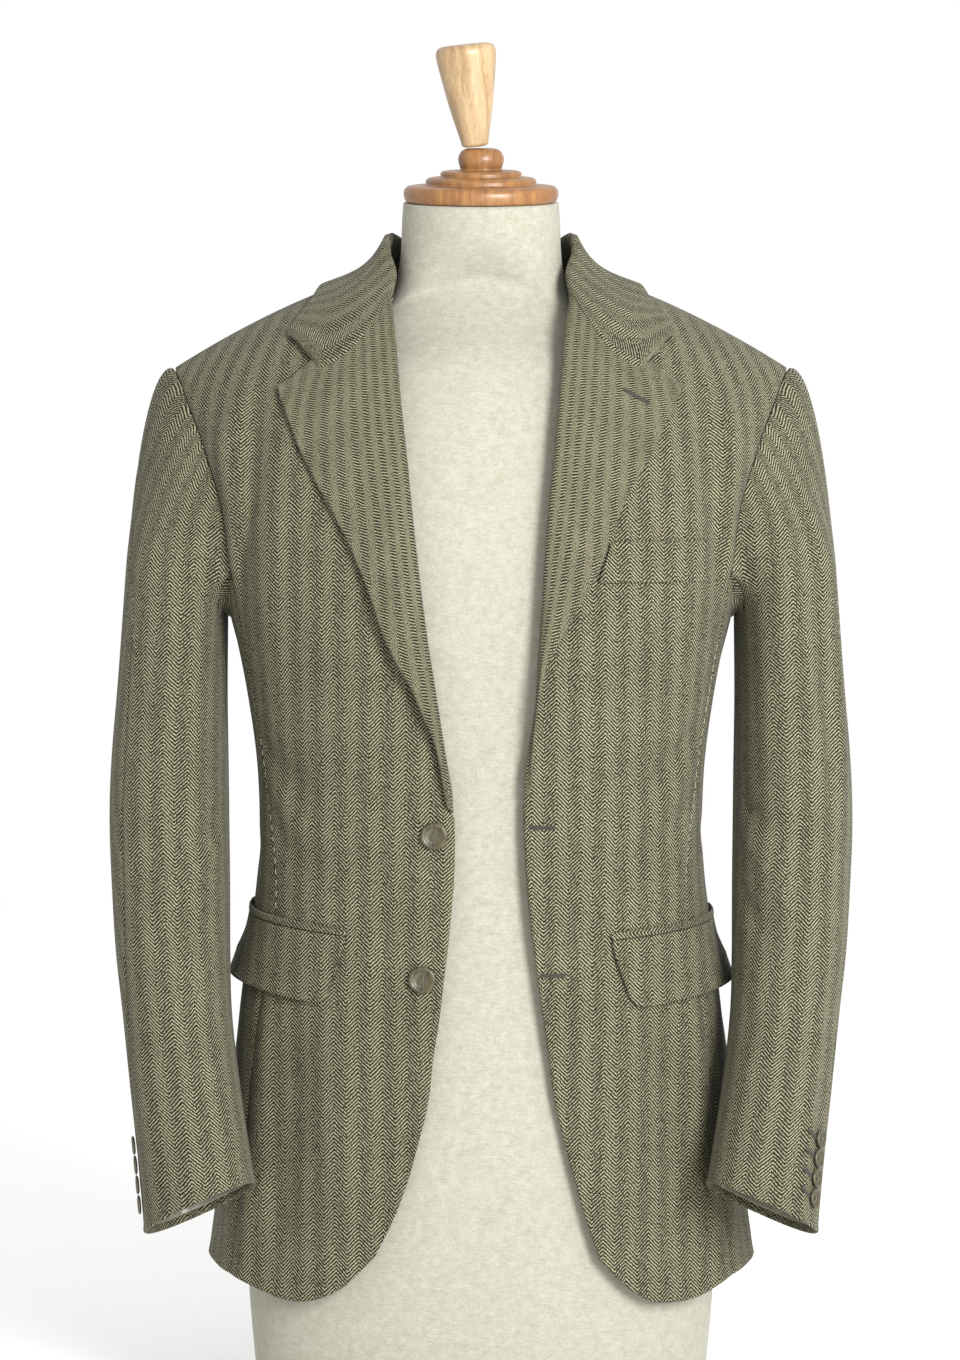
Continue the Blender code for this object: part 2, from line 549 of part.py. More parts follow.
def cap_table():
    """Armhole as a closed curve: angle round the sleeve, place, and the way the cap sets off."""
    loop = armhole_loop()
    place = on_body(loop[:, 0], loop[:, 1])
    normal = outward(body, loop[:, 0], loop[:, 1])
    along = np.roll(place, -1, axis=0) - np.roll(place, 1, axis=0)
    beyond = np.cross(normal, along)
    beyond /= np.linalg.norm(beyond, axis=1, keepdims=True)
    start = CAP_LEAN[0] * beyond + CAP_LEAN[1] * normal
    rows = np.hstack([place, start, beyond, normal])
    count = len(loop)
    angles = 360 / count * np.arange(-count, 2 * count)
    return np.hstack([angles[:, None], np.tile(rows, (3, 1))])


CAP_TABLE = cap_table()


def sleeve_ring(angle, level):
    """Point on one of the sleeve's rings; 0 degrees is outside, 90 the front."""
    ring = smooth(SLEEVE_RINGS, level)
    x, y, z, width, depth, square, fall, rise = np.moveaxis(ring, -1, 0)
    sine = np.sin(np.radians(angle))
    cosine = np.cos(np.radians(angle))
    out = width * np.sign(cosine) * np.abs(cosine) ** (2 / square)
    forward = depth * np.sign(sine) * np.abs(sine) ** (2 / square)
    return np.stack([x + out, y - forward, z + fall * out + rise * forward], axis=-1)


def sleeve(angle, level):
    """Point of the sleeve's outside: its cap up to level 1, and its rings from there to the cuff."""
    angle, level = np.broadcast_arrays(np.asarray(angle, dtype=float), np.asarray(level, dtype=float))
    t = np.clip(level, 0, 1)[..., None]
    armhole_row = smooth(CAP_TABLE, angle)
    place, start = armhole_row[..., 0:3], armhole_row[..., 3:6]
    ring = sleeve_ring(angle, np.ones_like(level))
    down = (sleeve_ring(angle, np.full_like(level, 1.05)) - ring) / 0.05
    reach = np.linalg.norm(ring - place, axis=-1, keepdims=True)
    down *= reach / np.linalg.norm(down, axis=-1, keepdims=True)
    start = start * np.maximum(CAP_PULL * reach, CAP_PULL_LEAST)
    cap = ((2 * t**3 - 3 * t**2 + 1) * place + (t**3 - 2 * t**2 + t) * start
           + (3 * t**2 - 2 * t**3) * ring + (t**3 - t**2) * down)
    return np.where((level < 1)[..., None], cap, sleeve_ring(angle, np.maximum(level, 1)))


def sleeve_lines(levels, side):
    """Angles of a sleeve's columns at each level, from the hindarm seam right round to it."""
    count = len(CAP_TABLE) // 3
    natural = 360 / count * np.arange(HINDARM_POINT - count, HINDARM_POINT + 1)
    split = FOREARM_POINT + count - HINDARM_POINT
    grid = []
    for level in levels:
        hind_left, hind_right, fore = smooth(SLEEVE_SEAMS, level)
        hind = hind_left if side < 0 else hind_right
        top = np.linspace(hind, fore, split + 1)
        under = np.linspace(fore, hind + 360, count - split + 1)
        even = np.concatenate([top[:-1], under])
        ease = min(level, 1.0)
        held = natural + np.interp(natural, (natural[0], natural[split], natural[-1]),
                                   (hind - natural[0], fore - natural[split], hind + 360 - natural[-1]))
        grid.append((1 - ease) * held + ease * even)
    return np.array(grid), split


def sleeve_pieces(word, side):
    """Top and under sleeve, parted at the hindarm and forearm seams."""
    levels = np.array(CAP_LEVELS + ARM_LEVELS)
    angles, split = sleeve_lines(levels, side)
    level_grid = np.broadcast_to(levels[:, None], angles.shape)
    outer = sleeve(angles, level_grid)
    normal = outward(sleeve, angles, level_grid)
    first = smooth(CAP_TABLE, angles[0])
    normal[0] = first[:, 9:12]
    inner = outer - CLOTH * normal
    outer[0] += SEAM * first[:, 6:9]
    inner[0] += SEAM * first[:, 6:9]
    mirror = np.array([side, 1, 1])
    for name, part in (("top", slice(0, split + 1)), ("under", slice(split, None))):
        gaps = {"left": SEAM / 2, "right": SEAM / 2}
        skins = [trimmed(skin[:, part] * mirror, **gaps) for skin in (outer, inner)]
        wall(f"{name}_sleeve_{word}", *skins)


# ---------------------------------------------------------------- lapels and collar
def unit(vectors):
    return vectors / np.linalg.norm(vectors, axis=-1, keepdims=True)


def gorge_row(start, columns):
    """Top of the lapel: along the gorge seam to the notch, then out to the given corner."""
    to_notch = columns - NOTCH_COLUMNS
    x = np.linspace(start[0], GORGE[-1][0], to_notch + 1)
    z = smooth(GORGE, x)[:, 0]
    z += (start[1] - z[0]) * np.linspace(1, 0, to_notch + 1) ** 2
    return np.stack([x, z], axis=-1)


def lapel_grid(side):
    """Places of the lapel on the front, as distance and height, and its fold radius by row."""
    x, z = free_edge(side)
    rows = slice(BREAK_ROW[side], len(x) - 1)
    left = np.stack([x[rows], z[rows]], axis=-1)
    table = LAPEL_EDGE_LEFT if side < 0 else LAPEL_EDGE_RIGHT
    heights = np.linspace(table[0][0], table[-1][0], len(left))
    right = np.stack([smooth(table, heights)[:, 0], heights], axis=-1)
    bottom = np.linspace(left[0], right[0], LAPEL_COLUMNS + 1)
    gorge = gorge_row(left[-1], LAPEL_COLUMNS)
    top = np.concatenate([gorge, np.linspace(gorge[-1], right[-1], NOTCH_COLUMNS + 1)[1:]])
    return coons(left, right, bottom, top), roll_radius(side)[:len(left)]


def lapel_skins(side):
    """Outside and inside of a lapel, from the front's edge round the roll and out over the front."""
    place, radius = lapel_grid(side)
    angle, level = locate(place[..., 0], place[..., 1])
    angle = angle * side
    across = np.linspace(0, 1, place.shape[1])[None, :]
    half, edge = np.moveaxis(smooth(LAPEL_LIFT, np.linspace(0, 1, len(place))), -1, 0)[..., None]
    roll = (2 * radius - CLOTH)[:, None]
    lift = (roll * (1 - across) * (1 - 2 * across) + 4 * half * across * (1 - across)
            + edge * across * (2 * across - 1))
    skins = []
    base = on_body(angle, level)
    normal = outward(body, angle, level)[:, 0]
    toward = base[:, 1] - base[:, 0]
    toward = unit(toward - normal * np.sum(toward * normal, axis=-1, keepdims=True))
    centre = base[:, 0] + normal * (radius - CLOTH)[:, None]
    for depth in (0.0, CLOTH):
        flat = on_body(angle, level, lift - depth)
        turn = []
        for degrees in ROLL_TURN:
            way = math.cos(math.radians(degrees)) * toward + math.sin(math.radians(degrees)) * normal
            turn.append(centre + way * (radius - depth)[:, None])
        skins.append(np.concatenate([np.stack(turn, axis=1), flat], axis=1))
    return skins


def lapel(word, side):
    wall(f"lapel_{word}", *[trimmed(skin, left=SEAM / 2, top=SEAM / 2) for skin in lapel_skins(side)])


def on_roof(x, ahead, lift=0.0):
    """Body point by its distance from the middle and its levels ahead of the shoulder line."""
    level = SHOULDER_LEVEL - np.abs(ahead)
    angle = ring_angle(x, level)
    angle = np.where(ahead < 0, 180 - angle, angle)
    return on_body(angle, level, np.broadcast_to(lift, np.shape(level)))


def collar_half(side):
    """Middle of the collar's cloth on one side, from the gorge to the centre back."""
    steps = np.linspace(0, 1, COLLAR_STATIONS)
    shares = steps ** (math.log(COLLAR_AT_SHOULDER) / math.log(0.5))
    paths = smooth(COLLAR_PATHS, shares)
    seat, edge = paths[:, 0:2], paths[:, 2:4]
    start = lapel_grid(side)[0][-1, 0]
    gorge = gorge_row(start, COLLAR_FALL)
    gorge = np.stack([gorge[:, 0], SHOULDER_LEVEL - locate(gorge[:, 0], gorge[:, 1])[1]], axis=-1)
    seat[0] = gorge[0]
    bottom = np.concatenate([gorge, np.linspace(gorge[-1], edge[0], NOTCH_COLUMNS + 1)[1:]])
    across = np.linspace(0, 1, COLLAR_FALL + 1)[None, :, None]
    place = seat[:, None] * (1 - across) + edge[:, None] * across
    place += (1 - steps[:, None, None]) ** 4 * (bottom - place[0])
    base = on_roof(place[..., 0], place[..., 1])
    raised = on_roof(place[..., 0], place[..., 1], 0.001)
    normal = unit(raised - base)
    toward = unit(base[:, 1] - base[:, 0])
    stand = smooth(COLLAR_STAND, shares).reshape(COLLAR_STATIONS, -1, 2)
    turn = base[:, :1] + stand[..., :1] * toward[:, None] + stand[..., 1:] * normal[:, :1]
    across = across[:, 1:]
    tip, drop = np.moveaxis(smooth(COLLAR_FALL_LIFT, shares), -1, 0)[..., None, None]
    lift = tip + (stand[:, -1:, 1:] - tip) * (1 - across) ** drop
    slide = stand[:, -1:, :1] * (1 - across) ** 2
    fall = base[:, 1:] + lift * normal[:, 1:] + slide * toward[:, None]
    half = np.concatenate([turn, fall], axis=1)
    return half * np.array([side, 1, 1])


def grid_normals(grid):
    """Unit normals of a grid of points, from its own neighbours."""
    along = np.gradient(grid, axis=1)
    up = np.gradient(grid, axis=0)
    return unit(np.cross(along, up))


def collar():
    """Collar: its stand rises from the neck seam, folds over and falls onto the shoulders."""
    middle = np.concatenate([collar_half(-1), collar_half(1)[-2::-1]])
    normal = grid_normals(middle)
    skins = [middle - normal * CLOTH / 2, middle + normal * CLOTH / 2]
    sewn = len(ROLL_TURN) + LAPEL_COLUMNS - 1
    gaps = {"left": ON_PANEL, "bottom": SEAM / 2, "top": SEAM / 2}
    for skin, left, right in zip(skins, lapel_skins(-1), lapel_skins(1)):
        skin[0, :sewn] = left[-1, :sewn]
        skin[-1, :sewn] = right[-1, :sewn]
    wall("collar", *[trimmed(skin, **gaps) for skin in skins])


# ---------------------------------------------------------------- pockets
def on_front(side, angle, height, lift):
    """Outside and inside of a piece that lies on the body, by angle, height and lift."""
    level = level_at(angle, height)
    angle = angle * side
    return on_body(angle, level, lift), on_body(angle, level, lift - CLOTH)


def flap_places(side):
    """Angles and heights of a hip flap's seam and foot, front to back, and the foot's flare."""
    shares = np.array(FLAP_SHARES)
    (front_angle, front_height), (back_angle, back_height) = FLAP_SEAM[side]
    seam_angle = front_angle + (back_angle - front_angle) * shares
    seam_height = front_height + (back_height - front_height) * shares
    foot_angle = seam_angle + FLAP_SLANT * (1 - shares)
    ends = on_body(seam_angle, level_at(seam_angle, seam_height))
    steps = np.linalg.norm(np.diff(ends, axis=0), axis=1)
    along = np.concatenate([[0.0], np.cumsum(steps)])
    to_end = np.minimum(np.minimum(along, along[-1] - along), FLAP_CORNER)
    corner = FLAP_CORNER - np.sqrt(FLAP_CORNER**2 - (FLAP_CORNER - to_end) ** 2)
    depth = FLAP_DEPTH[0] + (FLAP_DEPTH[1] - FLAP_DEPTH[0]) * shares - corner
    return seam_angle, seam_height, foot_angle, depth, smooth(FLAP_FLARE, shares)[:, 0]


def flap(word, side):
    """Hip pocket flap: flat at its seam, flaring away from the body at its foot."""
    seam_angle, seam_height, foot_angle, depth, flare = flap_places(side)
    down = np.linspace(1, 0, FLAP_ROWS + 1)[:, None]
    angle = seam_angle + (foot_angle - seam_angle) * down
    height = seam_height - depth * down
    top = ON_PANEL + CLOTH
    lift = top + (flare - top) * down**1.5
    wall(f"flap_{word}", *on_front(side, angle, height, lift))


def jet(word, side):
    """Narrow jet that lies above the flap's seam."""
    seam_angle, seam_height = flap_places(side)[:2]
    rise = np.array([[2 * SEAM], [JET_HEIGHT]])
    height = seam_height + rise
    angle = np.broadcast_to(seam_angle, height.shape)
    wall(f"jet_{word}", *on_front(side, angle, height, np.full(height.shape, JET_LIFT)))


def breast_welt():
    """Slanting welt of the breast pocket, its inner end under the lapel."""
    foot_in, foot_out, top_out, top_in = np.array(WELT)
    foot = np.linspace(foot_in, foot_out, WELT_COLUMNS + 1)
    top = np.linspace(top_in, top_out, WELT_COLUMNS + 1)
    place = np.linspace(foot, top, 3)
    angle, level = locate(place[..., 0], place[..., 1])
    lift = np.full(angle.shape, ON_PANEL + CLOTH)
    wall("breast_welt", on_body(angle, level, lift), on_body(angle, level, lift - CLOTH))


# ---------------------------------------------------------------- turned pieces
def turned(name, profile, steps, color, roughness):
    """Solid of revolution from a half section that runs from the top's middle to the foot's."""
    mesh = bpy.data.meshes.new(name)
    points = [(radius, 0.0, height) for radius, height in profile]
    mesh.from_pydata(points, [(i, i + 1) for i in range(len(points) - 1)], [])
    piece = link(name, mesh, color, roughness)
    screw = piece.modifiers.new("turning", "SCREW")
    screw.steps = steps
    screw.render_steps = steps
    screw.use_merge_vertices = True
    screw.merge_threshold = 0.00001
    screw.use_smooth_shade = True
    return piece


def button(name, diameter, place, normal, steps):
    """Four-hole button with a raised rim, on its thread shank."""
    radius = diameter / 2
    profile = [(share * radius, height * radius) for share, height in BUTTON_PROFILE]
    piece = turned(name, profile, steps, HORN_COLOR, 0.35)
    piece.location += Vector(place + normal * BUTTON_SHANK)
    piece.rotation_mode = "QUATERNION"
    piece.rotation_quaternion = Vector(normal).to_track_quat("Z", "Y")


def front_buttons():
    for number, (x, z) in enumerate(FRONT_BUTTONS, start=1):
        angle, level = locate(-x, z)
        button(f"front_button_{number}", FRONT_BUTTON, on_body(angle, level), outward(body, angle, level), 18)


def cuff_buttons(word, side):
    """Row of buttons up the cuff, from its edge."""
    angle = CUFF_BUTTON_ANGLE[side]
    level_length = np.linalg.norm(sleeve(angle, CUFF_LEVEL) - sleeve(angle, CUFF_LEVEL - 1))
    mirror = np.array([side, 1, 1])
    for number in range(4):
        level = CUFF_LEVEL - (CUFF_BUTTON_FOOT + number * CUFF_BUTTON_PITCH) / level_length
        place = sleeve(angle, level) * mirror
        normal = outward(sleeve, angle, level) * mirror
        button(f"cuff_button_{word}_{number + 1}", CUFF_BUTTON, place, normal, 12)


def cuff_lining(word, side):
    """Band of the sleeve's lining that shows inside the cuff."""
    angle, level = np.meshgrid(np.arange(0, 360, 360 / LINING_COLUMNS), LINING_LEVELS)
    place = sleeve(angle, level)
    normal = outward(sleeve, angle, level)
    mirror = np.array([side, 1, 1])
    outer = (place - normal * (CLOTH + ON_PANEL)) * mirror
    inner = (place - normal * (CLOTH + ON_PANEL + LINING)) * mirror
    wall(f"cuff_lining_{word}", outer, inner, SATIN_COLOR, 0.35, tube=True)


# ---------------------------------------------------------------- the dress form
def form_body():
    """Linen body of the form, from the base board up to the tilted top of its neck."""
    levels = np.arange(len(FORM_RINGS))
    angles = np.linspace(0, 360, FORM_COLUMNS, endpoint=False)
    angle, level = np.meshgrid(angles, levels)
    table = [(i, *ring) for i, ring in enumerate(FORM_RINGS)]
    points = ring_point(table, angle, level.astype(float))
    centre_y = np.array([ring[5] for ring in FORM_RINGS])[:, None]
    share = np.clip((points[..., 2] - NECK_TILT_FROM) / (FORM_RINGS[-2][0] - NECK_TILT_FROM), 0, 1)
    points[..., 2] += (points[..., 1] - centre_y) * math.tan(NECK_TILT) * share
    mesh = bmesh.new()
    rings = [[mesh.verts.new(Vector(point)) for point in ring] for ring in points]
    for lower, upper in zip(rings, rings[1:]):
        for j in range(FORM_COLUMNS):
            k = (j + 1) % FORM_COLUMNS
            mesh.faces.new((lower[j], lower[k], upper[k], upper[j]))
    mesh.faces.new(rings[0][::-1])
    mesh.faces.new(rings[-1])
    data = bpy.data.meshes.new("form_body")
    mesh.to_mesh(data)
    mesh.free()
    data.shade_smooth()
    data.set_sharp_from_angle(angle=math.radians(50))
    link("form_body", data, LINEN_COLOR, 0.9)


def cap_and_finial():
    """Turned cap on the neck, tilted with it, and the finial that leans on the cap."""
    neck = Vector((0.0, FORM_RINGS[-1][5], FORM_RINGS[-1][0] + SEAM))
    cap = turned("neck_cap", CAP_PROFILE, 28, BEECH_COLOR, 0.45)
    cap.location += neck
    cap.rotation_euler = (NECK_TILT, 0.0, 0.0)
    finial = turned("finial", FINIAL_PROFILE, 20, BEECH_COLOR, 0.45)
    finial.location += neck
    finial.rotation_euler = (NECK_TILT, FINIAL_LEAN, 0.0)


def base_board():
    """Beech board under the form."""
    mesh = bmesh.new()
    bmesh.ops.create_cube(mesh, size=1.0)
    bmesh.ops.scale(mesh, vec=BASE_SIZE, verts=mesh.verts)
    data = bpy.data.meshes.new("base_board")
    mesh.to_mesh(data)
    mesh.free()
    board = link("base_board", data, BEECH_COLOR, 0.5)
    board.location = (0.0, 0.0, BASE_SIZE[2] / 2)
    bevel = board.modifiers.new("edges", "BEVEL")
    bevel.width = BASE_CORNER
    bevel.segments = 2


# ---------------------------------------------------------------- the model
def clear_scene():
    """An empty scene with the blazer's collection."""
    for item in list(bpy.data.objects):
        bpy.data.objects.remove(item, do_unlink=True)
    collection = bpy.data.collections.new(COLLECTION)
    bpy.context.scene.collection.children.link(collection)


def build():
    clear_scene()
    for word, side in SIDES.items():
        panel(f"front_{word}", front_outline(side), side, ("left", "right", "top"))
        panel(f"side_{word}", side_outline(side), side, ("left", "right", "top"))
        panel(f"back_{word}", back_outline(), side, ("left", "right", "top"))
        sleeve_pieces(word, side)
        lapel(word, side)
        flap(word, side)
        jet(word, side)
        cuff_buttons(word, side)
        cuff_lining(word, side)
    collar()
    breast_welt()
    front_buttons()
    form_body()
    cap_and_finial()
    base_board()


build()
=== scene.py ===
import math

import bmesh
import bpy
import numpy as np
from mathutils import Euler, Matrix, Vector


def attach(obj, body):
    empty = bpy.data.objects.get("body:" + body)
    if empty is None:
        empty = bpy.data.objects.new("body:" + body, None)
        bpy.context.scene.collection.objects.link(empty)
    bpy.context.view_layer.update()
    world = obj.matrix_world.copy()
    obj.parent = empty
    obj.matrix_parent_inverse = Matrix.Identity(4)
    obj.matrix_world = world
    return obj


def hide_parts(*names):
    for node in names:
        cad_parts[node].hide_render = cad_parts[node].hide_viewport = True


# The looks of a herringbone blazer on a dress form. Every cloth piece is the CAD wall
# again, worked out from the same tables but finer, with its folds, rolled edges, seams
# and stitches. Metres; heights in the tables are above the hem level.

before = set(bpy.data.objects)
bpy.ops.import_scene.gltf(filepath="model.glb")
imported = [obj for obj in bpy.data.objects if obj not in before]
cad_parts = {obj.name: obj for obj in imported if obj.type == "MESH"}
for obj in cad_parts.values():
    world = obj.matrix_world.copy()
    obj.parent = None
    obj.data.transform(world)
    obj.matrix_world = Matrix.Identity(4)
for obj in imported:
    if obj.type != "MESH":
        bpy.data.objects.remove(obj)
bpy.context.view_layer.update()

# ---------------------------------------------------------------- driving sizes
HEM_HEIGHT = 0.085          # hem level above the floor
DEPTH_CENTRE = 0.0087       # moves everything in Y so that the box is centred
CLOTH = 0.0020              # cloth with its canvas
SEAM = 0.0003               # gap between pieces that are sewn together
ON_PANEL = 0.0009           # gap between a panel and what lies on it
SIDES = {"left": -1, "right": 1}

# ---------------------------------------------------------------- the body's rings
# Each ring is a squared-off ellipse that droops from its centre towards the side.
# The last ring is flat: it is the shoulder line, where the depth has run out.
BODY_RINGS = [
    # centre z, side z, half width, front, back, centre y, squareness
    (-0.040, -0.010, 0.2095, 0.116, 0.113, 0.010, 2.15),
    (0.020, 0.045, 0.2045, 0.118, 0.115, 0.010, 2.15),
    (0.085, 0.105, 0.1975, 0.118, 0.117, 0.010, 2.15),
    (0.150, 0.165, 0.1905, 0.118, 0.117, 0.008, 2.20),
    (0.215, 0.225, 0.1830, 0.117, 0.113, 0.004, 2.25),
    (0.280, 0.285, 0.1725, 0.114, 0.104, 0.001, 2.30),
    (0.345, 0.345, 0.1660, 0.112, 0.094, 0.000, 2.35),
    (0.410, 0.405, 0.1670, 0.114, 0.095, 0.000, 2.35),
    (0.470, 0.460, 0.1745, 0.121, 0.106, 0.000, 2.40),
    (0.528, 0.515, 0.1860, 0.127, 0.118, 0.000, 2.50),
    (0.586, 0.565, 0.1980, 0.127, 0.124, 0.000, 2.60),
    (0.643, 0.607, 0.2110, 0.119, 0.120, 0.000, 2.55),
    (0.698, 0.645, 0.2240, 0.101, 0.104, 0.001, 2.40),
    (0.744, 0.675, 0.2330, 0.074, 0.078, 0.003, 2.25),
    (0.775, 0.693, 0.2380, 0.039, 0.041, 0.004, 2.15),
    (0.793, 0.701, 0.2400, 0.000, 0.000, 0.005, 2.10),
]
SHOULDER_LEVEL = len(BODY_RINGS) - 1
DROOP = 1.7                 # how a ring droops: 1 is straight, more is later

# seams of the side body, in degrees from the front centre, by ring level
FRONT_SIDE_SEAM = [
    (0.5, 62.0), (4.0, 62.0), (5.6, 62.5), (6.1, 66.0), (6.7, 71.0), (7.5, 74.0), (8.6, 73.0),
    (9.4, 71.0),
]
BACK_SIDE_SEAM = [
    (0.5, 116.0), (4.0, 115.0), (6.0, 113.0), (8.0, 111.0), (9.4, 109.0),
]

# front armhole from the side seam up to the shoulder: half width from the middle at a height
FRONT_ARMHOLE = [
    # height, x
    (0.548, 0.1835), (0.560, 0.1860), (0.578, 0.1875), (0.599, 0.1905), (0.617, 0.1955),
    (0.637, 0.2025), (0.655, 0.2085), (0.676, 0.2175), (0.695, 0.2250), (0.707, 0.2310),
]
BACK_ARMHOLE_INSET = 0.004  # the back's armhole lies this much nearer the middle, halfway up
ARMHOLE_SCOOP = 0.55        # how many ring levels the underarm dips below the side seams

# front edges below the lapels: height and distance from the middle, up from the cut-away corner
EDGE_LEFT = [
    (0.057, 0.0760), (0.086, 0.0620), (0.110, 0.0530), (0.135, 0.0460), (0.166, 0.0382),
    (0.199, 0.0343), (0.230, 0.0295), (0.255, 0.0266), (0.277, 0.0238), (0.306, 0.0210),
    (0.330, 0.0191), (0.354, 0.0186), (0.378, 0.0192),
]
EDGE_RIGHT = [
    (0.055, 0.0850), (0.090, 0.0735), (0.120, 0.0650), (0.148, 0.0580), (0.172, 0.0525),
    (0.200, 0.0487), (0.228, 0.0448), (0.261, 0.0401), (0.297, 0.0353), (0.330, 0.0324),
    (0.360, 0.0305), (0.390, 0.0302),
]
# roll lines, from the lapel's break to the neck point: height and distance from the middle
ROLL_LEFT = [
    (0.378, 0.0192), (0.400, 0.0212), (0.429, 0.0248), (0.471, 0.0312),
    (0.501, 0.0360), (0.531, 0.0401), (0.573, 0.0450), (0.630, 0.0508), (0.665, 0.0548),
    (0.720, 0.0600), (0.745, 0.0630), (0.765, 0.0665), (0.7785, 0.0800),
]
ROLL_RIGHT = [
    (0.390, 0.0302), (0.419, 0.0316), (0.450, 0.0354), (0.488, 0.0375), (0.536, 0.0413),
    (0.582, 0.0452), (0.630, 0.0500), (0.664, 0.0530), (0.698, 0.0562), (0.722, 0.0585),
    (0.745, 0.0620), (0.765, 0.0660), (0.7785, 0.0800),
]
# hems of the fronts, from beyond the cut-away corner to the side seam: distance and height
HEM_LEFT = [(0.099, 0.034), (0.123, 0.0225), (0.144, 0.0215), (0.160, 0.0260), (0.185, 0.0350)]
HEM_RIGHT = [(0.105, 0.034), (0.119, 0.0240), (0.138, 0.0200), (0.158, 0.0220), (0.185, 0.0340)]
NECK_POINT = 0.0800         # shoulder seam starts this far from the middle

# lapels
ROLL_RADIUS = 0.0034        # outside of the fold at the roll line
ROLL_RADIUS_BREAK = 0.0026  # and where the lapel begins
LAPEL_EDGE_LEFT = [
    # height, distance from the middle, from the break to the tip
    (0.382, 0.0250), (0.396, 0.0272), (0.412, 0.0296), (0.429, 0.0334), (0.447, 0.0410),
    (0.4655, 0.0486), (0.4825, 0.0580), (0.5005, 0.0670), (0.525, 0.0755), (0.569, 0.0938),
    (0.618, 0.1200), (0.640, 0.1310), (0.661, 0.1390), (0.683, 0.1477),
]
LAPEL_EDGE_RIGHT = [
    (0.394, 0.0362), (0.430, 0.0378), (0.459, 0.0410), (0.475, 0.0440), (0.490, 0.0497),
    (0.507, 0.0594), (0.530, 0.0716), (0.547, 0.0817), (0.570, 0.0905), (0.6065, 0.1060),
    (0.639, 0.1245), (0.660, 0.1345), (0.6835, 0.1460),
]
# gorge seam from the roll line to the notch: distance and height
GORGE = [(0.0638, 0.7527), (0.0722, 0.7490), (0.0819, 0.7420), (0.1024, 0.7220), (0.1190, 0.7055)]
LAPEL_LIFT = [
    # share of the way up, lift of the outside halfway across and at the edge
    (0.00, 0.0036, 0.0036), (0.15, 0.0085, 0.0080), (0.35, 0.0105, 0.0090),
    (0.65, 0.0075, 0.0052), (1.00, 0.0048, 0.0038),
]

# collar: where its seat and its outer edge lie, from the gorge to the centre back.
# "ahead" counts ring levels in front of the shoulder line, and is negative behind it.
COLLAR_PATHS = [
    # share, seat x, seat ahead, edge x, edge ahead
    (0.00, 0.0672, 1.65, 0.1425, 1.68), (0.15, 0.0672, 1.18, 0.1344, 1.29),
    (0.30, 0.0765, 0.58, 0.1250, 0.80),
    (0.45, 0.0800, 0.00, 0.1170, 0.00), (0.60, 0.0730, -0.65, 0.1030, -1.00),
    (0.80, 0.0440, -1.22, 0.0620, -1.95),
    (1.00, 0.0000, -1.40, 0.0000, -2.25),
]
COLLAR_AT_SHOULDER = 0.45   # share at which the collar crosses the shoulder seam
# section of the stand and fold: six points, each as steps along the body and away from it
COLLAR_STAND = [
    (0.00, 0.0000, -0.0010, -0.0014, -0.0005, -0.0023, 0.0007,
     -0.0023, 0.0021, -0.0014, 0.0033, 0.0000, 0.0038),
    (0.15, 0.0000, 0.0034, -0.0040, 0.0037, -0.0078, 0.0046,
     -0.0090, 0.0062, -0.0080, 0.0083, -0.0050, 0.0088),
    (0.45, -0.0018, 0.0040, -0.0104, 0.0087, -0.0192, 0.0158,
     -0.0225, 0.0198, -0.0216, 0.0234, -0.0180, 0.0233),
    (1.00, 0.0000, 0.0038, -0.0079, 0.0097, -0.0190, 0.0185,
     -0.0255, 0.0240, -0.0258, 0.0285, -0.0215, 0.0295),
]
COLLAR_FALL_LIFT = [
    # share, lift of the outer edge, how steeply the fall drops to it from the fold
    (0.00, 0.0028, 1.3), (0.15, 0.0030, 2.5), (0.45, 0.0032, 4.6), (0.70, 0.0032, 3.4),
    (1.00, 0.0032, 2.6),
]

# ---------------------------------------------------------------- the sleeves' rings
# Level 0 is the armhole, level 1 the ring at the top of the arm, the last one the cuff.
SLEEVE_RINGS = [
    # level, centre x, y, z, half width, half depth, squareness, fall outwards, rise forwards
    (1.0, 0.2275, 0.000, 0.537, 0.0378, 0.0650, 2.20, 0.45, 0.00),
    (2.0, 0.2302, -0.002, 0.470, 0.0402, 0.0665, 2.25, 0.20, 0.00),
    (3.0, 0.2320, -0.007, 0.412, 0.0431, 0.0655, 2.30, 0.05, 0.00),
    (4.0, 0.2318, -0.015, 0.368, 0.0440, 0.0630, 2.30, 0.00, 0.02),
    (5.0, 0.2296, -0.027, 0.320, 0.0433, 0.0595, 2.30, 0.00, 0.06),
    (6.0, 0.2270, -0.039, 0.273, 0.0418, 0.0565, 2.30, -0.02, 0.10),
    (7.0, 0.2228, -0.052, 0.229, 0.0397, 0.0535, 2.25, -0.06, 0.14),
    (8.0, 0.2165, -0.067, 0.182, 0.0392, 0.0510, 2.25, -0.16, 0.18),
    (9.0, 0.2095, -0.081, 0.136, 0.0392, 0.0495, 2.20, -0.30, 0.21),
    (10.0, 0.2025, -0.096, 0.0905, 0.0398, 0.0485, 2.20, -0.45, 0.22),
]
CUFF_LEVEL = SLEEVE_RINGS[-1][0]
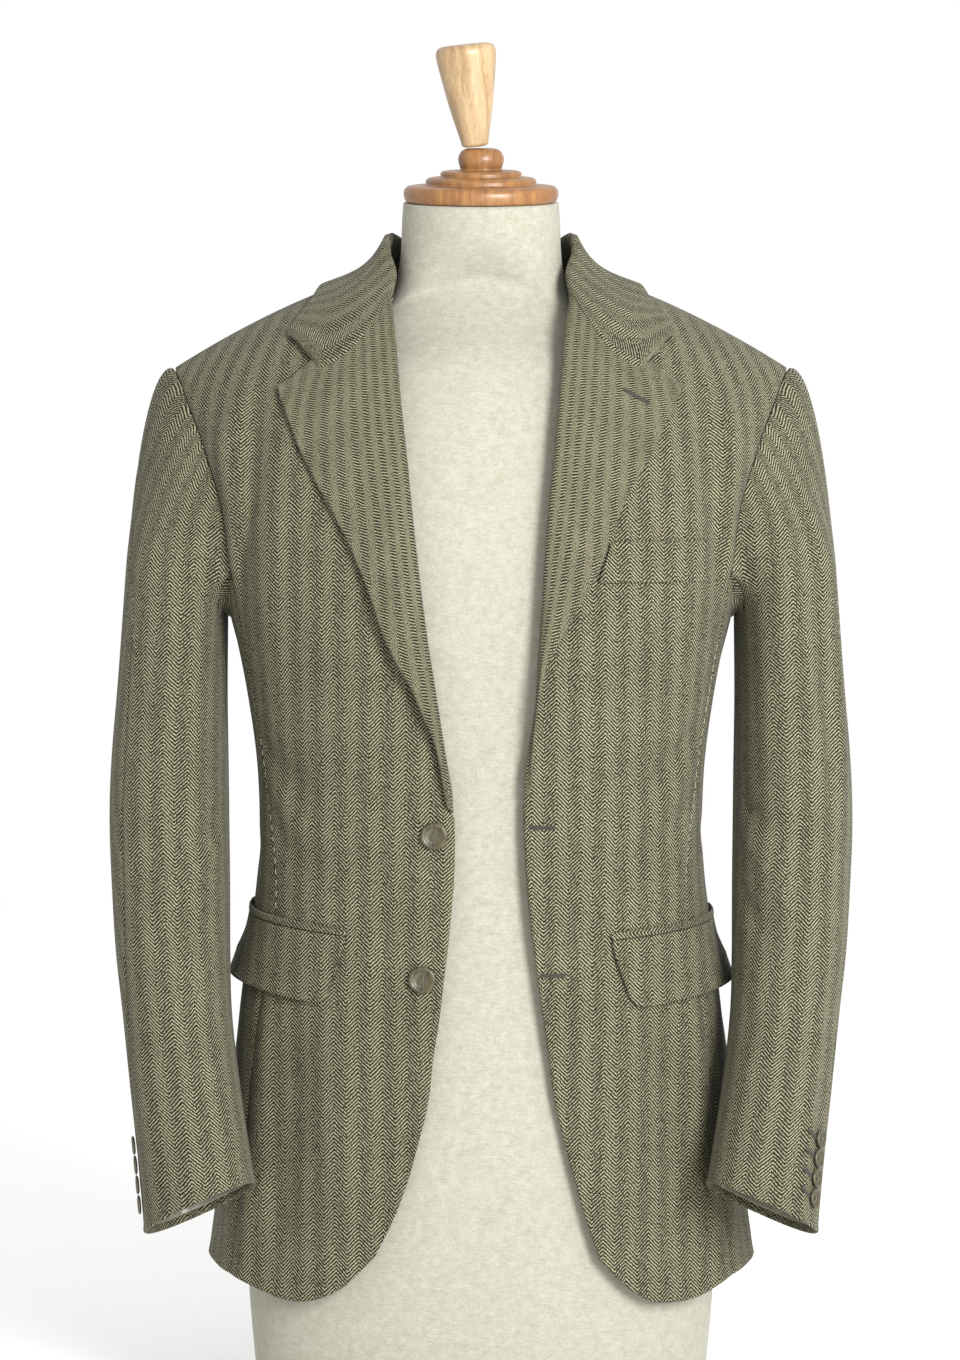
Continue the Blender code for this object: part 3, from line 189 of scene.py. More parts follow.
# seams of the two-piece sleeve: level, hindarm angle on the left and the right, forearm angle
SLEEVE_SEAMS = [
    (0.0, -49.1, -49.1, 130.9), (0.35, -22.0, -36.0, 140.0), (0.6, 0.0, -24.0, 147.0),
    (0.8, 22.0, -14.0, 152.0), (1.0, 37.0, -5.0, 156.0), (2.0, 47.0, 8.0, 170.0),
    (4.0, 48.0, 14.0, 182.0), (6.0, 42.0, 18.0, 185.0), (8.0, 22.0, 20.0, 185.0),
    (10.0, -8.0, 20.0, 185.0),
]
CAP_LEAN = (0.8, 0.6)       # how the cap leaves the armhole: along the body, and away from it
CAP_PULL = 0.40             # length of that start, as a share of the way to the first ring
CAP_PULL_LEAST = 0.022

# ---------------------------------------------------------------- pockets
# Hip flap: angle and height of its seam's ends, and how deep it hangs at each
FLAP_SEAM = {
    -1: ((31.0, 0.2870), (97.0, 0.3030)),
    1: ((29.5, 0.2840), (97.0, 0.2985)),
}
FLAP_DEPTH = (0.0500, 0.0470)
FLAP_SLANT = 3.5            # degrees by which the front edge runs back on its way down
FLAP_CORNER = 0.014         # radius of its lower corners
FLAP_FLARE = [(0.0, 0.0034), (0.5, 0.0055), (0.8, 0.0095), (1.0, 0.0100)]  # lift of its foot, front to back
JET_HEIGHT = 0.0058
JET_LIFT = 0.0034           # outside of a jet above the panel
# corners, from the inner foot
WELT = ((0.0830, 0.5410), (0.1610, 0.5430), (0.1610, 0.5735), (0.0930, 0.5705))

# ---------------------------------------------------------------- buttons
FRONT_BUTTONS = ((0.0335, 0.3600), (0.0420, 0.2570))  # distance and height, on the left front
FRONT_BUTTON = 0.0200       # diameter
CUFF_BUTTON = 0.0140
CUFF_BUTTON_PITCH = 0.0144
CUFF_BUTTON_FOOT = 0.0200   # lowest button's centre above the cuff's edge
CUFF_BUTTON_ANGLE = {-1: 12.0, 1: 38.0}
BUTTON_SHANK = 0.0008       # thread shank, the gap under a button
# half section from the middle of the face round to the middle of the back, as shares of the radius
BUTTON_PROFILE = (
    (0.00, 0.17), (0.55, 0.17), (0.70, 0.30), (0.86, 0.34), (0.97, 0.27), (1.00, 0.16),
    (0.80, 0.03), (0.00, 0.00),
)

# ---------------------------------------------------------------- sleeve lining at the cuffs
LINING = 0.0010             # thickness of the satin
LINING_ENDS = (8.9, 9.88)   # ring levels between which it shows

# ---------------------------------------------------------------- the dress form
FORM_RINGS = [
    # centre z, side z, half width, front, back, centre y, squareness
    (-0.0667, -0.0667, 0.1660, 0.096, 0.096, 0.006, 2.20),
    (0.020, 0.020, 0.1740, 0.102, 0.102, 0.008, 2.20),
    (0.110, 0.110, 0.1760, 0.106, 0.106, 0.008, 2.20),
    (0.190, 0.190, 0.1710, 0.104, 0.103, 0.004, 2.20),
    (0.270, 0.270, 0.1590, 0.100, 0.092, 0.001, 2.20),
    (0.345, 0.345, 0.1530, 0.098, 0.082, 0.000, 2.20),
    (0.420, 0.415, 0.1560, 0.103, 0.087, 0.000, 2.25),
    (0.500, 0.490, 0.1660, 0.112, 0.100, 0.000, 2.30),
    (0.570, 0.550, 0.1720, 0.114, 0.108, 0.000, 2.35),
    (0.640, 0.600, 0.1760, 0.105, 0.107, 0.000, 2.30),
    (0.700, 0.640, 0.1780, 0.086, 0.093, 0.001, 2.25),
    (0.738, 0.660, 0.1700, 0.057, 0.065, 0.003, 2.15),
    (0.758, 0.682, 0.1460, 0.043, 0.050, 0.002, 2.10),
    (0.770, 0.720, 0.1020, 0.038, 0.044, 0.000, 2.05),
    (0.782, 0.753, 0.0700, 0.042, 0.045, -0.003, 2.00),
    (0.797, 0.782, 0.0610, 0.048, 0.048, -0.006, 2.00),
    (0.8150, 0.8150, 0.0590, 0.053, 0.052, -0.007, 2.00),
    (0.8285, 0.8285, 0.0580, 0.053, 0.052, -0.007, 2.00),
]
NECK_TILT = math.radians(11)  # the top of the neck and the cap lean forward
NECK_TILT_FROM = 0.745      # height at which that lean begins
FINIAL_LEAN = math.radians(-6)
CAP_PROFILE = (
    # radius, height above the neck, from the top's middle down
    (0.0000, 0.0400), (0.0110, 0.0400), (0.0150, 0.0380), (0.0175, 0.0325), (0.0160, 0.0265),
    (0.0150, 0.0240),
    (0.0285, 0.0235), (0.0305, 0.0215), (0.0300, 0.0190), (0.0390, 0.0185), (0.0415, 0.0160),
    (0.0410, 0.0130),
    (0.0545, 0.0125), (0.0575, 0.0095), (0.0580, 0.0055), (0.0565, 0.0010), (0.0550, 0.0000),
    (0.0000, 0.0000),
)
FINIAL_PROFILE = (
    (0.0000, 0.1170), (0.0165, 0.1168), (0.0208, 0.1152), (0.0225, 0.1115), (0.0222, 0.1060),
    (0.0196, 0.0900),
    (0.0160, 0.0700), (0.0128, 0.0560), (0.0106, 0.0470), (0.0098, 0.0414), (0.0000, 0.0414),
)

# ---------------------------------------------------------------- how finely pieces are divided
FINER = 6                   # rows and columns here for each one of the CAD solids
SEAM_ROWS = 15 * FINER
ARM_ROWS = 8 * FINER
FRONT_COLUMNS = 9 * FINER
SIDE_COLUMNS = 6 * FINER
BACK_COLUMNS = 8 * FINER
NAPE_COLUMNS = 3 * FINER
BREAK_ROW = {-1: 11 * FINER, 1: 11 * FINER}
LAPEL_COLUMNS = 6 * FINER
NOTCH_COLUMNS = 2 * FINER
ROLL_GROWTH_ROWS = 3 * FINER
COLLAR_FALL = 6 * FINER     # columns across the fall
COLLAR_STATIONS = 12 * FINER + 1  # from the gorge to the centre back
COLLAR_MEET_ROWS = 2 * FINER  # rows over which the collar's ends are drawn to the lapels
STAND_POINTS = 6            # points of the collar's stand and fold in its table
ROLL_TURN = tuple(range(-90, -235, -12))  # degrees round a lapel's roll
FLAP_ROWS = 18
FLAP_SHARES = tuple(0.5 - 0.5 * math.cos(math.pi * share) for share in np.linspace(0.0, 1.0, 49))
JET_ROWS = 5
WELT_ROWS = 15
WELT_COLUMNS = 30
LINING_COLUMNS = 132
LINING_LEVELS = tuple(np.linspace(*LINING_ENDS, 13))
HINDARM_POINT = 19 * FINER  # points of the armhole where the sleeve's two seams start
FOREARM_POINT = 8 * FINER
CAP_LEVELS = tuple(np.linspace(0.0, 1.0, 25) ** 1.3)
ARM_LEVELS = tuple(np.linspace(1.0, CUFF_LEVEL, 68)[1:])
FORM_COLUMNS = 96
TURNED_SIDES = 96
BUTTON_SIDES = 48


# ---------------------------------------------------------------- curves and surfaces
def smooth(table, at):
    """Cubic curve through a table's rows; the first column is where each row lies."""
    rows = np.array(table, dtype=float)
    keys = rows[:, 0]
    values = rows[:, 1:]
    at = np.clip(np.asarray(at, dtype=float), keys[0], keys[-1])
    low = np.clip(np.searchsorted(keys, at, side="right") - 1, 0, len(keys) - 2)
    slope = np.gradient(values, keys, axis=0)
    step = (keys[low + 1] - keys[low])[..., None]
    t = (at[..., None] - keys[low][..., None]) / step
    return ((2 * t**3 - 3 * t**2 + 1) * values[low] + (t**3 - 2 * t**2 + t) * step * slope[low]
            + (3 * t**2 - 2 * t**3) * values[low + 1] + (t**3 - t**2) * step * slope[low + 1])


def numbered(rings):
    """Rings with their number in front, and one past the shoulder that mirrors the last but one."""
    past = list(rings[-2])
    past[3] = -past[3]
    past[4] = -past[4]
    return [(i, *ring) for i, ring in enumerate(list(rings) + [past])]


BODY_TABLE = numbered(BODY_RINGS)


def ring_point(table, angle, level):
    """Point on a table's rings: angle in degrees from the front centre, +X side positive."""
    ring = smooth(table, level)
    centre_z, side_z, width, front, back, centre_y, square = np.moveaxis(ring, -1, 0)
    sine = np.sin(np.radians(angle))
    cosine = np.cos(np.radians(angle))
    across = np.sign(sine) * np.abs(sine) ** (2 / square)
    deep = np.abs(cosine) ** (2 / square)
    x = width * across
    y = centre_y - np.where(cosine > 0, front * deep, -back * deep)
    z = centre_z + (side_z - centre_z) * np.abs(across) ** DROOP
    return np.stack([x, y, z], axis=-1)


def body(angle, level):
    """Point of the blazer's outside."""
    return ring_point(BODY_TABLE, angle, level)


def outward(surface, u, v, du=0.05, dv=0.002):
    """Unit normals of a surface function, by small differences."""
    along = surface(u + du, v) - surface(u - du, v)
    up = surface(u, v + dv) - surface(u, v - dv)
    normal = np.cross(along, up)
    return normal / np.linalg.norm(normal, axis=-1, keepdims=True)


def ring_angle(x, level):
    """Angle at which a ring reaches the distance x from the middle, on the front."""
    ring = smooth(BODY_TABLE, level)
    share = np.clip(np.abs(x) / ring[..., 2], 0, 1)
    return np.sign(x) * np.degrees(np.arcsin(share ** (ring[..., 6] / 2)))


def locate(x, z):
    """Angle and level of the front point at x and height z, by halving the levels."""
    x, z = np.broadcast_arrays(np.asarray(x, dtype=float), np.asarray(z, dtype=float))
    low = np.zeros_like(z)
    high = np.full_like(z, float(SHOULDER_LEVEL))
    for _ in range(30):
        middle = (low + high) / 2
        ring = smooth(BODY_TABLE, middle)
        share = np.clip(np.abs(x) / ring[..., 2], 0, 1)
        below = ring[..., 0] + (ring[..., 1] - ring[..., 0]) * share**DROOP < z
        low = np.where(below, middle, low)
        high = np.where(below, high, middle)
    return ring_angle(x, low), low


def level_at(angle, height):
    """Level at which the body reaches a height at the given angle, by halving the levels."""
    angle, height = np.broadcast_arrays(np.asarray(angle, dtype=float), np.asarray(height, dtype=float))
    low = np.zeros_like(height)
    high = np.full_like(height, float(SHOULDER_LEVEL))
    for _ in range(30):
        middle = (low + high) / 2
        below = body(angle, middle)[..., 2] < height
        low = np.where(below, middle, low)
        high = np.where(below, high, middle)
    return low


def on_body(angle, level, lift=0.0):
    """Body point moved out by lift."""
    lift = np.asarray(lift, dtype=float)
    return body(angle, level) + outward(body, angle, level) * lift[..., None]


def coons(left, right, bottom, top):
    """Grid of plane points inside four edges; rows run from bottom to top."""
    s = np.linspace(0, 1, len(bottom))[None, :, None]
    t = np.linspace(0, 1, len(left))[:, None, None]
    left, right = np.asarray(left)[:, None], np.asarray(right)[:, None]
    bottom, top = np.asarray(bottom)[None], np.asarray(top)[None]
    corners = ((1 - s) * (1 - t) * bottom[:, :1] + s * (1 - t) * bottom[:, -1:]
               + (1 - s) * t * top[:, :1] + s * t * top[:, -1:])
    return (1 - s) * left + s * right + (1 - t) * bottom + t * top - corners


def meet(path, start, end):
    """Path moved bit by bit so that its ends lie on two given points."""
    share = np.linspace(0, 1, len(path))[:, None]
    return path + (1 - share) * (np.asarray(start) - path[0]) + share * (np.asarray(end) - path[-1])


def located(x, z):
    """Angles and levels of front points, as one array."""
    return np.stack(locate(x, z), axis=-1)


# ---------------------------------------------------------------- outlines of the body's panels
def armhole(back=False):
    """Up the armhole from the side body's seam to the shoulder, in angle and level."""
    heights = np.linspace(FRONT_ARMHOLE[0][0], FRONT_ARMHOLE[-1][0], ARM_ROWS + 1)
    x = smooth(FRONT_ARMHOLE, heights)[:, 0]
    if back:
        x = x - BACK_ARMHOLE_INSET * np.sin(np.linspace(0, math.pi, ARM_ROWS + 1))
    path = located(x, heights)
    path[-1] = (ring_angle(x[-1], SHOULDER_LEVEL), SHOULDER_LEVEL)
    if back:
        path[:, 0] = 180 - path[:, 0]
    return path


def side_seam(table, foot, top):
    """Seam of the side body from the hem to the armhole, in angle and level."""
    levels = np.linspace(foot[1], top[1], SEAM_ROWS + 1)
    return meet(np.stack([smooth(table, levels)[:, 0], levels], axis=-1), foot, top)


def edge_heights(side):
    """Heights of the rows of a front's free edge."""
    roll = ROLL_LEFT if side < 0 else ROLL_RIGHT
    edge = EDGE_LEFT if side < 0 else EDGE_RIGHT
    below = np.linspace(edge[0][0], edge[-1][0], BREAK_ROW[side] + 1)
    above = np.linspace(roll[0][0], roll[-1][0], SEAM_ROWS + ARM_ROWS - BREAK_ROW[side] + 1)
    return below, above


def roll_radius(side):
    """Radius of the lapel's fold at each row of the free edge above the break."""
    rows = SEAM_ROWS + ARM_ROWS - BREAK_ROW[side] + 1
    growth = np.clip(np.arange(rows) / ROLL_GROWTH_ROWS, 0, 1)
    return ROLL_RADIUS_BREAK + (ROLL_RADIUS - ROLL_RADIUS_BREAK) * growth


def free_edge(side):
    """The front's edge from the cut-away corner to the neck point, in distance and height.

    Above the break it is where the cloth starts to turn back, one fold radius in."""
    below, above = edge_heights(side)
    edge, roll = (EDGE_LEFT, ROLL_LEFT) if side < 0 else (EDGE_RIGHT, ROLL_RIGHT)
    x_below = smooth(edge, below)[:, 0]
    x_above = smooth(roll, above)[:, 0] + roll_radius(side)
    x_above[-1] = NECK_POINT
    x = np.concatenate([x_below[:-1], x_above])
    return x, np.concatenate([below[:-1], above])


def front_outline(side):
    """The four edges of a front, in angle and level."""
    x, z = free_edge(side)
    left = located(x, z)
    left[-1] = (ring_angle(NECK_POINT, SHOULDER_LEVEL), SHOULDER_LEVEL)
    table = [(x[0], z[0])] + (HEM_LEFT if side < 0 else HEM_RIGHT)
    hem_x = np.linspace(x[0], table[-1][0], FRONT_COLUMNS + 1)
    bottom = located(hem_x, smooth(table, hem_x)[:, 0])
    arm = armhole()
    right = np.concatenate([side_seam(FRONT_SIDE_SEAM, bottom[-1], arm[0])[:-1], arm])
    top = np.linspace(left[-1], arm[-1], FRONT_COLUMNS + 1)
    return left, right, bottom, top


def side_outline(side):
    """The four edges of a side body."""
    left = front_outline(side)[1][:SEAM_ROWS + 1]
    arm = armhole(back=True)
    foot = (BACK_SIDE_SEAM[0][1], 1.0)
    right = side_seam(BACK_SIDE_SEAM, foot, arm[0])
    bottom = np.linspace(left[0], right[0], SIDE_COLUMNS + 1)
    top = np.linspace(left[-1], right[-1], SIDE_COLUMNS + 1)
    top[:, 1] -= ARMHOLE_SCOOP * np.sin(np.linspace(0, math.pi, SIDE_COLUMNS + 1))
    return left, right, bottom, top


def back_outline():
    """The four edges of a back, from its side seam to the centre."""
    arm = armhole(back=True)
    foot = (BACK_SIDE_SEAM[0][1], 1.0)
    left = np.concatenate([side_seam(BACK_SIDE_SEAM, foot, arm[0])[:-1], arm])
    x, ahead = smooth(COLLAR_PATHS, np.linspace(COLLAR_AT_SHOULDER, 1, NAPE_COLUMNS + 1))[:, :2].T
    neck = np.stack([180 - ring_angle(x, SHOULDER_LEVEL + ahead), SHOULDER_LEVEL + ahead], axis=-1)
    levels = np.linspace(1.0, neck[-1][1], SEAM_ROWS + ARM_ROWS + 1)
    right = np.stack([np.full_like(levels, 180.0), levels], axis=-1)
    bottom = np.linspace(left[0], right[0], BACK_COLUMNS + 1)
    turn = BACK_COLUMNS - NAPE_COLUMNS
    top = np.concatenate([np.linspace(left[-1], neck[0], turn + 1)[:-1], neck])
    return left, right, bottom, top


def armhole_loop():
    """Round the armhole from the shoulder down the front, under and up the back."""
    under = side_outline(1)[3]
    return np.concatenate([armhole()[::-1], under[1:-1], armhole(back=True)[:-1]])


def cap_table():
    """Armhole as a closed curve: angle round the sleeve, place, and the way the cap sets off."""
    loop = armhole_loop()
    place = on_body(loop[:, 0], loop[:, 1])
    normal = outward(body, loop[:, 0], loop[:, 1])
    along = np.roll(place, -1, axis=0) - np.roll(place, 1, axis=0)
    beyond = np.cross(normal, along)
    beyond /= np.linalg.norm(beyond, axis=1, keepdims=True)
    start = CAP_LEAN[0] * beyond + CAP_LEAN[1] * normal
    rows = np.hstack([place, start, beyond, normal])
    count = len(loop)
    angles = 360 / count * np.arange(-count, 2 * count)
    return np.hstack([angles[:, None], np.tile(rows, (3, 1))])


CAP_TABLE = cap_table()


def sleeve_ring(angle, level):
    """Point on one of the sleeve's rings; 0 degrees is outside, 90 the front."""
    ring = smooth(SLEEVE_RINGS, level)
    x, y, z, width, depth, square, fall, rise = np.moveaxis(ring, -1, 0)
    sine = np.sin(np.radians(angle))
    cosine = np.cos(np.radians(angle))
    out = width * np.sign(cosine) * np.abs(cosine) ** (2 / square)
    forward = depth * np.sign(sine) * np.abs(sine) ** (2 / square)
    return np.stack([x + out, y - forward, z + fall * out + rise * forward], axis=-1)


def sleeve(angle, level):
    """Point of the sleeve's outside: its cap up to level 1, and its rings from there to the cuff."""
    angle, level = np.broadcast_arrays(np.asarray(angle, dtype=float), np.asarray(level, dtype=float))
    t = np.clip(level, 0, 1)[..., None]
    armhole_row = smooth(CAP_TABLE, angle)
    place, start = armhole_row[..., 0:3], armhole_row[..., 3:6]
    ring = sleeve_ring(angle, np.ones_like(level))
    down = (sleeve_ring(angle, np.full_like(level, 1.05)) - ring) / 0.05
    reach = np.linalg.norm(ring - place, axis=-1, keepdims=True)
    down *= reach / np.linalg.norm(down, axis=-1, keepdims=True)
    start = start * np.maximum(CAP_PULL * reach, CAP_PULL_LEAST)
    cap = ((2 * t**3 - 3 * t**2 + 1) * place + (t**3 - 2 * t**2 + t) * start
           + (3 * t**2 - 2 * t**3) * ring + (t**3 - t**2) * down)
    return np.where((level < 1)[..., None], cap, sleeve_ring(angle, np.maximum(level, 1)))


def sleeve_lines(levels, side):
    """Angles of a sleeve's columns at each level, from the hindarm seam right round to it."""
    count = len(CAP_TABLE) // 3
    natural = 360 / count * np.arange(HINDARM_POINT - count, HINDARM_POINT + 1)
    split = FOREARM_POINT + count - HINDARM_POINT
    grid = []
    for level in levels:
        hind_left, hind_right, fore = smooth(SLEEVE_SEAMS, level)
        hind = hind_left if side < 0 else hind_right
        top = np.linspace(hind, fore, split + 1)
        under = np.linspace(fore, hind + 360, count - split + 1)
        even = np.concatenate([top[:-1], under])
        ease = min(level, 1.0)
        held = natural + np.interp(natural, (natural[0], natural[split], natural[-1]),
                                   (hind - natural[0], fore - natural[split], hind + 360 - natural[-1]))
        grid.append((1 - ease) * held + ease * even)
    return np.array(grid), split


def unit(vectors):
    return vectors / np.linalg.norm(vectors, axis=-1, keepdims=True)


def soft(share):
    """Share from 0 to 1 that sets off and arrives gently."""
    return share**2 * (3 - 2 * share)


def gorge_row(start, columns):
    """Top of the lapel: along the gorge seam to the notch, then out to the given corner."""
    to_notch = columns - NOTCH_COLUMNS
    x = np.linspace(start[0], GORGE[-1][0], to_notch + 1)
    z = smooth(GORGE, x)[:, 0]
    z += (start[1] - z[0]) * np.linspace(1, 0, to_notch + 1) ** 2
    return np.stack([x, z], axis=-1)


def lapel_grid(side):
    """Places of the lapel on the front, as distance and height, and its fold radius by row."""
    x, z = free_edge(side)
    rows = slice(BREAK_ROW[side], len(x) - 1)
    left = np.stack([x[rows], z[rows]], axis=-1)
    table = LAPEL_EDGE_LEFT if side < 0 else LAPEL_EDGE_RIGHT
    heights = np.linspace(table[0][0], table[-1][0], len(left))
    right = np.stack([smooth(table, heights)[:, 0], heights], axis=-1)
    bottom = np.linspace(left[0], right[0], LAPEL_COLUMNS + 1)
    gorge = gorge_row(left[-1], LAPEL_COLUMNS)
    top = np.concatenate([gorge, np.linspace(gorge[-1], right[-1], NOTCH_COLUMNS + 1)[1:]])
    return coons(left, right, bottom, top), roll_radius(side)[:len(left)]


def lapel_skins(side):
    """Outside and inside of a lapel, from the front's edge round the roll and out over the front."""
    place, radius = lapel_grid(side)
    angle, level = locate(place[..., 0], place[..., 1])
    angle = angle * side
    across = np.linspace(0, 1, place.shape[1])[None, :]
    half, edge = np.moveaxis(smooth(LAPEL_LIFT, np.linspace(0, 1, len(place))), -1, 0)[..., None]
    roll = (2 * radius - CLOTH)[:, None]
    lift = (roll * (1 - across) * (1 - 2 * across) + 4 * half * across * (1 - across)
            + edge * across * (2 * across - 1))
    skins = []
    base = on_body(angle, level)
    normal = outward(body, angle, level)[:, 0]
    toward = base[:, 1] - base[:, 0]
    toward = unit(toward - normal * np.sum(toward * normal, axis=-1, keepdims=True))
    centre = base[:, 0] + normal * (radius - CLOTH)[:, None]
    for depth in (0.0, CLOTH):
        flat = on_body(angle, level, lift - depth)
        turn = []
        for degrees in ROLL_TURN:
            way = math.cos(math.radians(degrees)) * toward + math.sin(math.radians(degrees)) * normal
            turn.append(centre + way * (radius - depth)[:, None])
        skins.append(np.concatenate([np.stack(turn, axis=1), flat], axis=1))
    return skins


def on_roof(x, ahead, lift=0.0):
    """Body point by its distance from the middle and its levels ahead of the shoulder line."""
    level = SHOULDER_LEVEL - np.abs(ahead)
    angle = ring_angle(x, level)
    angle = np.where(ahead < 0, 180 - angle, angle)
    return on_body(angle, level, np.broadcast_to(lift, np.shape(level)))


def collar_half(side):
    """Middle of the collar's cloth on one side, from the gorge to the centre back."""
    steps = np.linspace(0, 1, COLLAR_STATIONS)
    shares = steps ** (math.log(COLLAR_AT_SHOULDER) / math.log(0.5))
    paths = smooth(COLLAR_PATHS, shares)
    seat, edge = paths[:, 0:2], paths[:, 2:4]
    start = lapel_grid(side)[0][-1, 0]
    gorge = gorge_row(start, COLLAR_FALL)
    gorge = np.stack([gorge[:, 0], SHOULDER_LEVEL - locate(gorge[:, 0], gorge[:, 1])[1]], axis=-1)
    seat[0] = gorge[0]
    bottom = np.concatenate([gorge, np.linspace(gorge[-1], edge[0], NOTCH_COLUMNS + 1)[1:]])
    across = np.linspace(0, 1, COLLAR_FALL + 1)[None, :, None]
    place = seat[:, None] * (1 - across) + edge[:, None] * across
    place += (1 - steps[:, None, None]) ** 4 * (bottom - place[0])
    base = on_roof(place[..., 0], place[..., 1])
    raised = on_roof(place[..., 0], place[..., 1], 0.001)
    normal = unit(raised - base)
    toward = unit(base[:, 1] - base[:, 0])
    stand = smooth(COLLAR_STAND, shares).reshape(COLLAR_STATIONS, -1, 2)
    turn = base[:, :1] + stand[..., :1] * toward[:, None] + stand[..., 1:] * normal[:, :1]
    across = across[:, 1:]
    tip, drop = np.moveaxis(smooth(COLLAR_FALL_LIFT, shares), -1, 0)[..., None, None]
    lift = tip + (stand[:, -1:, 1:] - tip) * (1 - across) ** drop
    slide = stand[:, -1:, :1] * (1 - across) ** 2
    fall = base[:, 1:] + lift * normal[:, 1:] + slide * toward[:, None]
    half = np.concatenate([turn, fall], axis=1)
    return half * np.array([side, 1, 1])


def grid_normals(grid):
    """Unit normals of a grid of points, from its own neighbours."""
    along = np.gradient(grid, axis=1)
    up = np.gradient(grid, axis=0)
    return unit(np.cross(along, up))


def flap_places(side):
    """Angles and heights of a hip flap's seam and foot, front to back, and the foot's flare."""
    shares = np.array(FLAP_SHARES)
    (front_angle, front_height), (back_angle, back_height) = FLAP_SEAM[side]
    seam_angle = front_angle + (back_angle - front_angle) * shares
    seam_height = front_height + (back_height - front_height) * shares
    foot_angle = seam_angle + FLAP_SLANT * (1 - shares)
    ends = on_body(seam_angle, level_at(seam_angle, seam_height))
    steps = np.linalg.norm(np.diff(ends, axis=0), axis=1)
    along = np.concatenate([[0.0], np.cumsum(steps)])
    to_end = np.minimum(np.minimum(along, along[-1] - along), FLAP_CORNER)
    corner = FLAP_CORNER - np.sqrt(FLAP_CORNER**2 - (FLAP_CORNER - to_end) ** 2)
    depth = FLAP_DEPTH[0] + (FLAP_DEPTH[1] - FLAP_DEPTH[0]) * shares - corner
    return seam_angle, seam_height, foot_angle, depth, smooth(FLAP_FLARE, shares)[:, 0]


# ---------------------------------------------------------------- the cloth's own coordinates
# Each point of a cloth piece has the place it had in the flat cloth: along the weft and
# along the warp, in metres. The weave and the folds are worked out from these.
LEVEL_STEP = 0.1            # steps of the body's table, in levels and degrees
ANGLE_STEP = 1.0
# level, lean towards the neck
GRAIN_LEAN = [(0.0, 0.0), (10.0, 0.0), (12.5, 0.06), (15.0, 0.24), (16.0, 0.24)]


def body_measure():
    """Distance round the body and up it, for every level and angle."""
    levels = np.arange(0, SHOULDER_LEVEL + LEVEL_STEP, LEVEL_STEP)
    angles = np.arange(0, 180 + ANGLE_STEP, ANGLE_STEP)
    points = body(angles[None], levels[:, None])
    across = np.hypot(np.diff(points[..., 0], axis=1), np.diff(points[..., 1], axis=1))
    across = np.pad(np.cumsum(across, axis=1), ((0, 0), (1, 0)))
    across *= 1 + smooth(GRAIN_LEAN, levels)
    up = np.linalg.norm(np.diff(points, axis=0), axis=-1)
    up = np.pad(np.cumsum(up, axis=0), ((1, 0), (0, 0))) + points[0, :, 2]
    return np.stack([across, up], axis=-1)


def lookup(table, row, column):
    """Value between the rows and columns of a table of points."""
    row = np.clip(row, 0, table.shape[0] - 1.001)
    column = np.clip(column, 0, table.shape[1] - 1.001)
    i, j = row.astype(int), column.astype(int)
    s, t = (row - i)[..., None], (column - j)[..., None]
    return ((1 - s) * (1 - t) * table[i, j] + (1 - s) * t * table[i, j + 1]
            + s * (1 - t) * table[i + 1, j] + s * t * table[i + 1, j + 1])


BODY_CLOTH = body_measure()


def body_cloth(angle, level):
    """Place in the cloth of a point of the body."""
    return lookup(BODY_CLOTH, level / LEVEL_STEP, np.abs(angle) / ANGLE_STEP)


def back_cloth(angle, level):
    """The same for a back, whose grain runs along the seam down its middle."""
    cloth = body_cloth(angle, level)
    across = cloth[..., 0] - body_cloth(np.full_like(angle, 180.0), level)[..., 0]
    return np.stack([across / (1 + smooth(GRAIN_LEAN, level)[..., 0]), cloth[..., 1]], axis=-1)


SLEEVE_ANGLES = np.arange(-180.0, 541.0, 3.0)
SLEEVE_LEVELS = np.arange(0.0, CUFF_LEVEL + 0.05, 0.1)
EASED_ANGLE = 55.0          # degrees over which the easing of the cap's cloth dies away
EASED_REACH = 1.25          # it ends this many times as far from the middle of the outside


CAP_EVEN = 6                # columns on each side over which the cap's cloth is evened out
EVEN_FLAT = np.ones(2 * CAP_EVEN + 1)
EVEN_SOFT = np.hanning(2 * CAP_EVEN + 3)[1:-1] / (CAP_EVEN + 1)


def evened(row, weights):
    """Values of a row, each summed with its neighbours by the given weights."""
    parts = [np.convolve(np.pad(part, CAP_EVEN, "edge"), weights, "valid") for part in row.T]
    return np.stack(parts, axis=-1)


def laid_flat(row, cloth, following):
    """Places in the flat cloth of the next row of points up, each in its true place beside the last."""
    step = following - row
    side = unit(np.gradient(row, axis=0))
    aside = np.sum(step * side, axis=-1, keepdims=True)
    ahead = np.sqrt(np.maximum(np.sum(step * step, axis=-1, keepdims=True) - aside**2, 0))
    flat = unit(evened(np.gradient(cloth, axis=0), EVEN_FLAT))
    return cloth + aside * flat + ahead * np.stack([-flat[:, 1], flat[:, 0]], axis=-1)


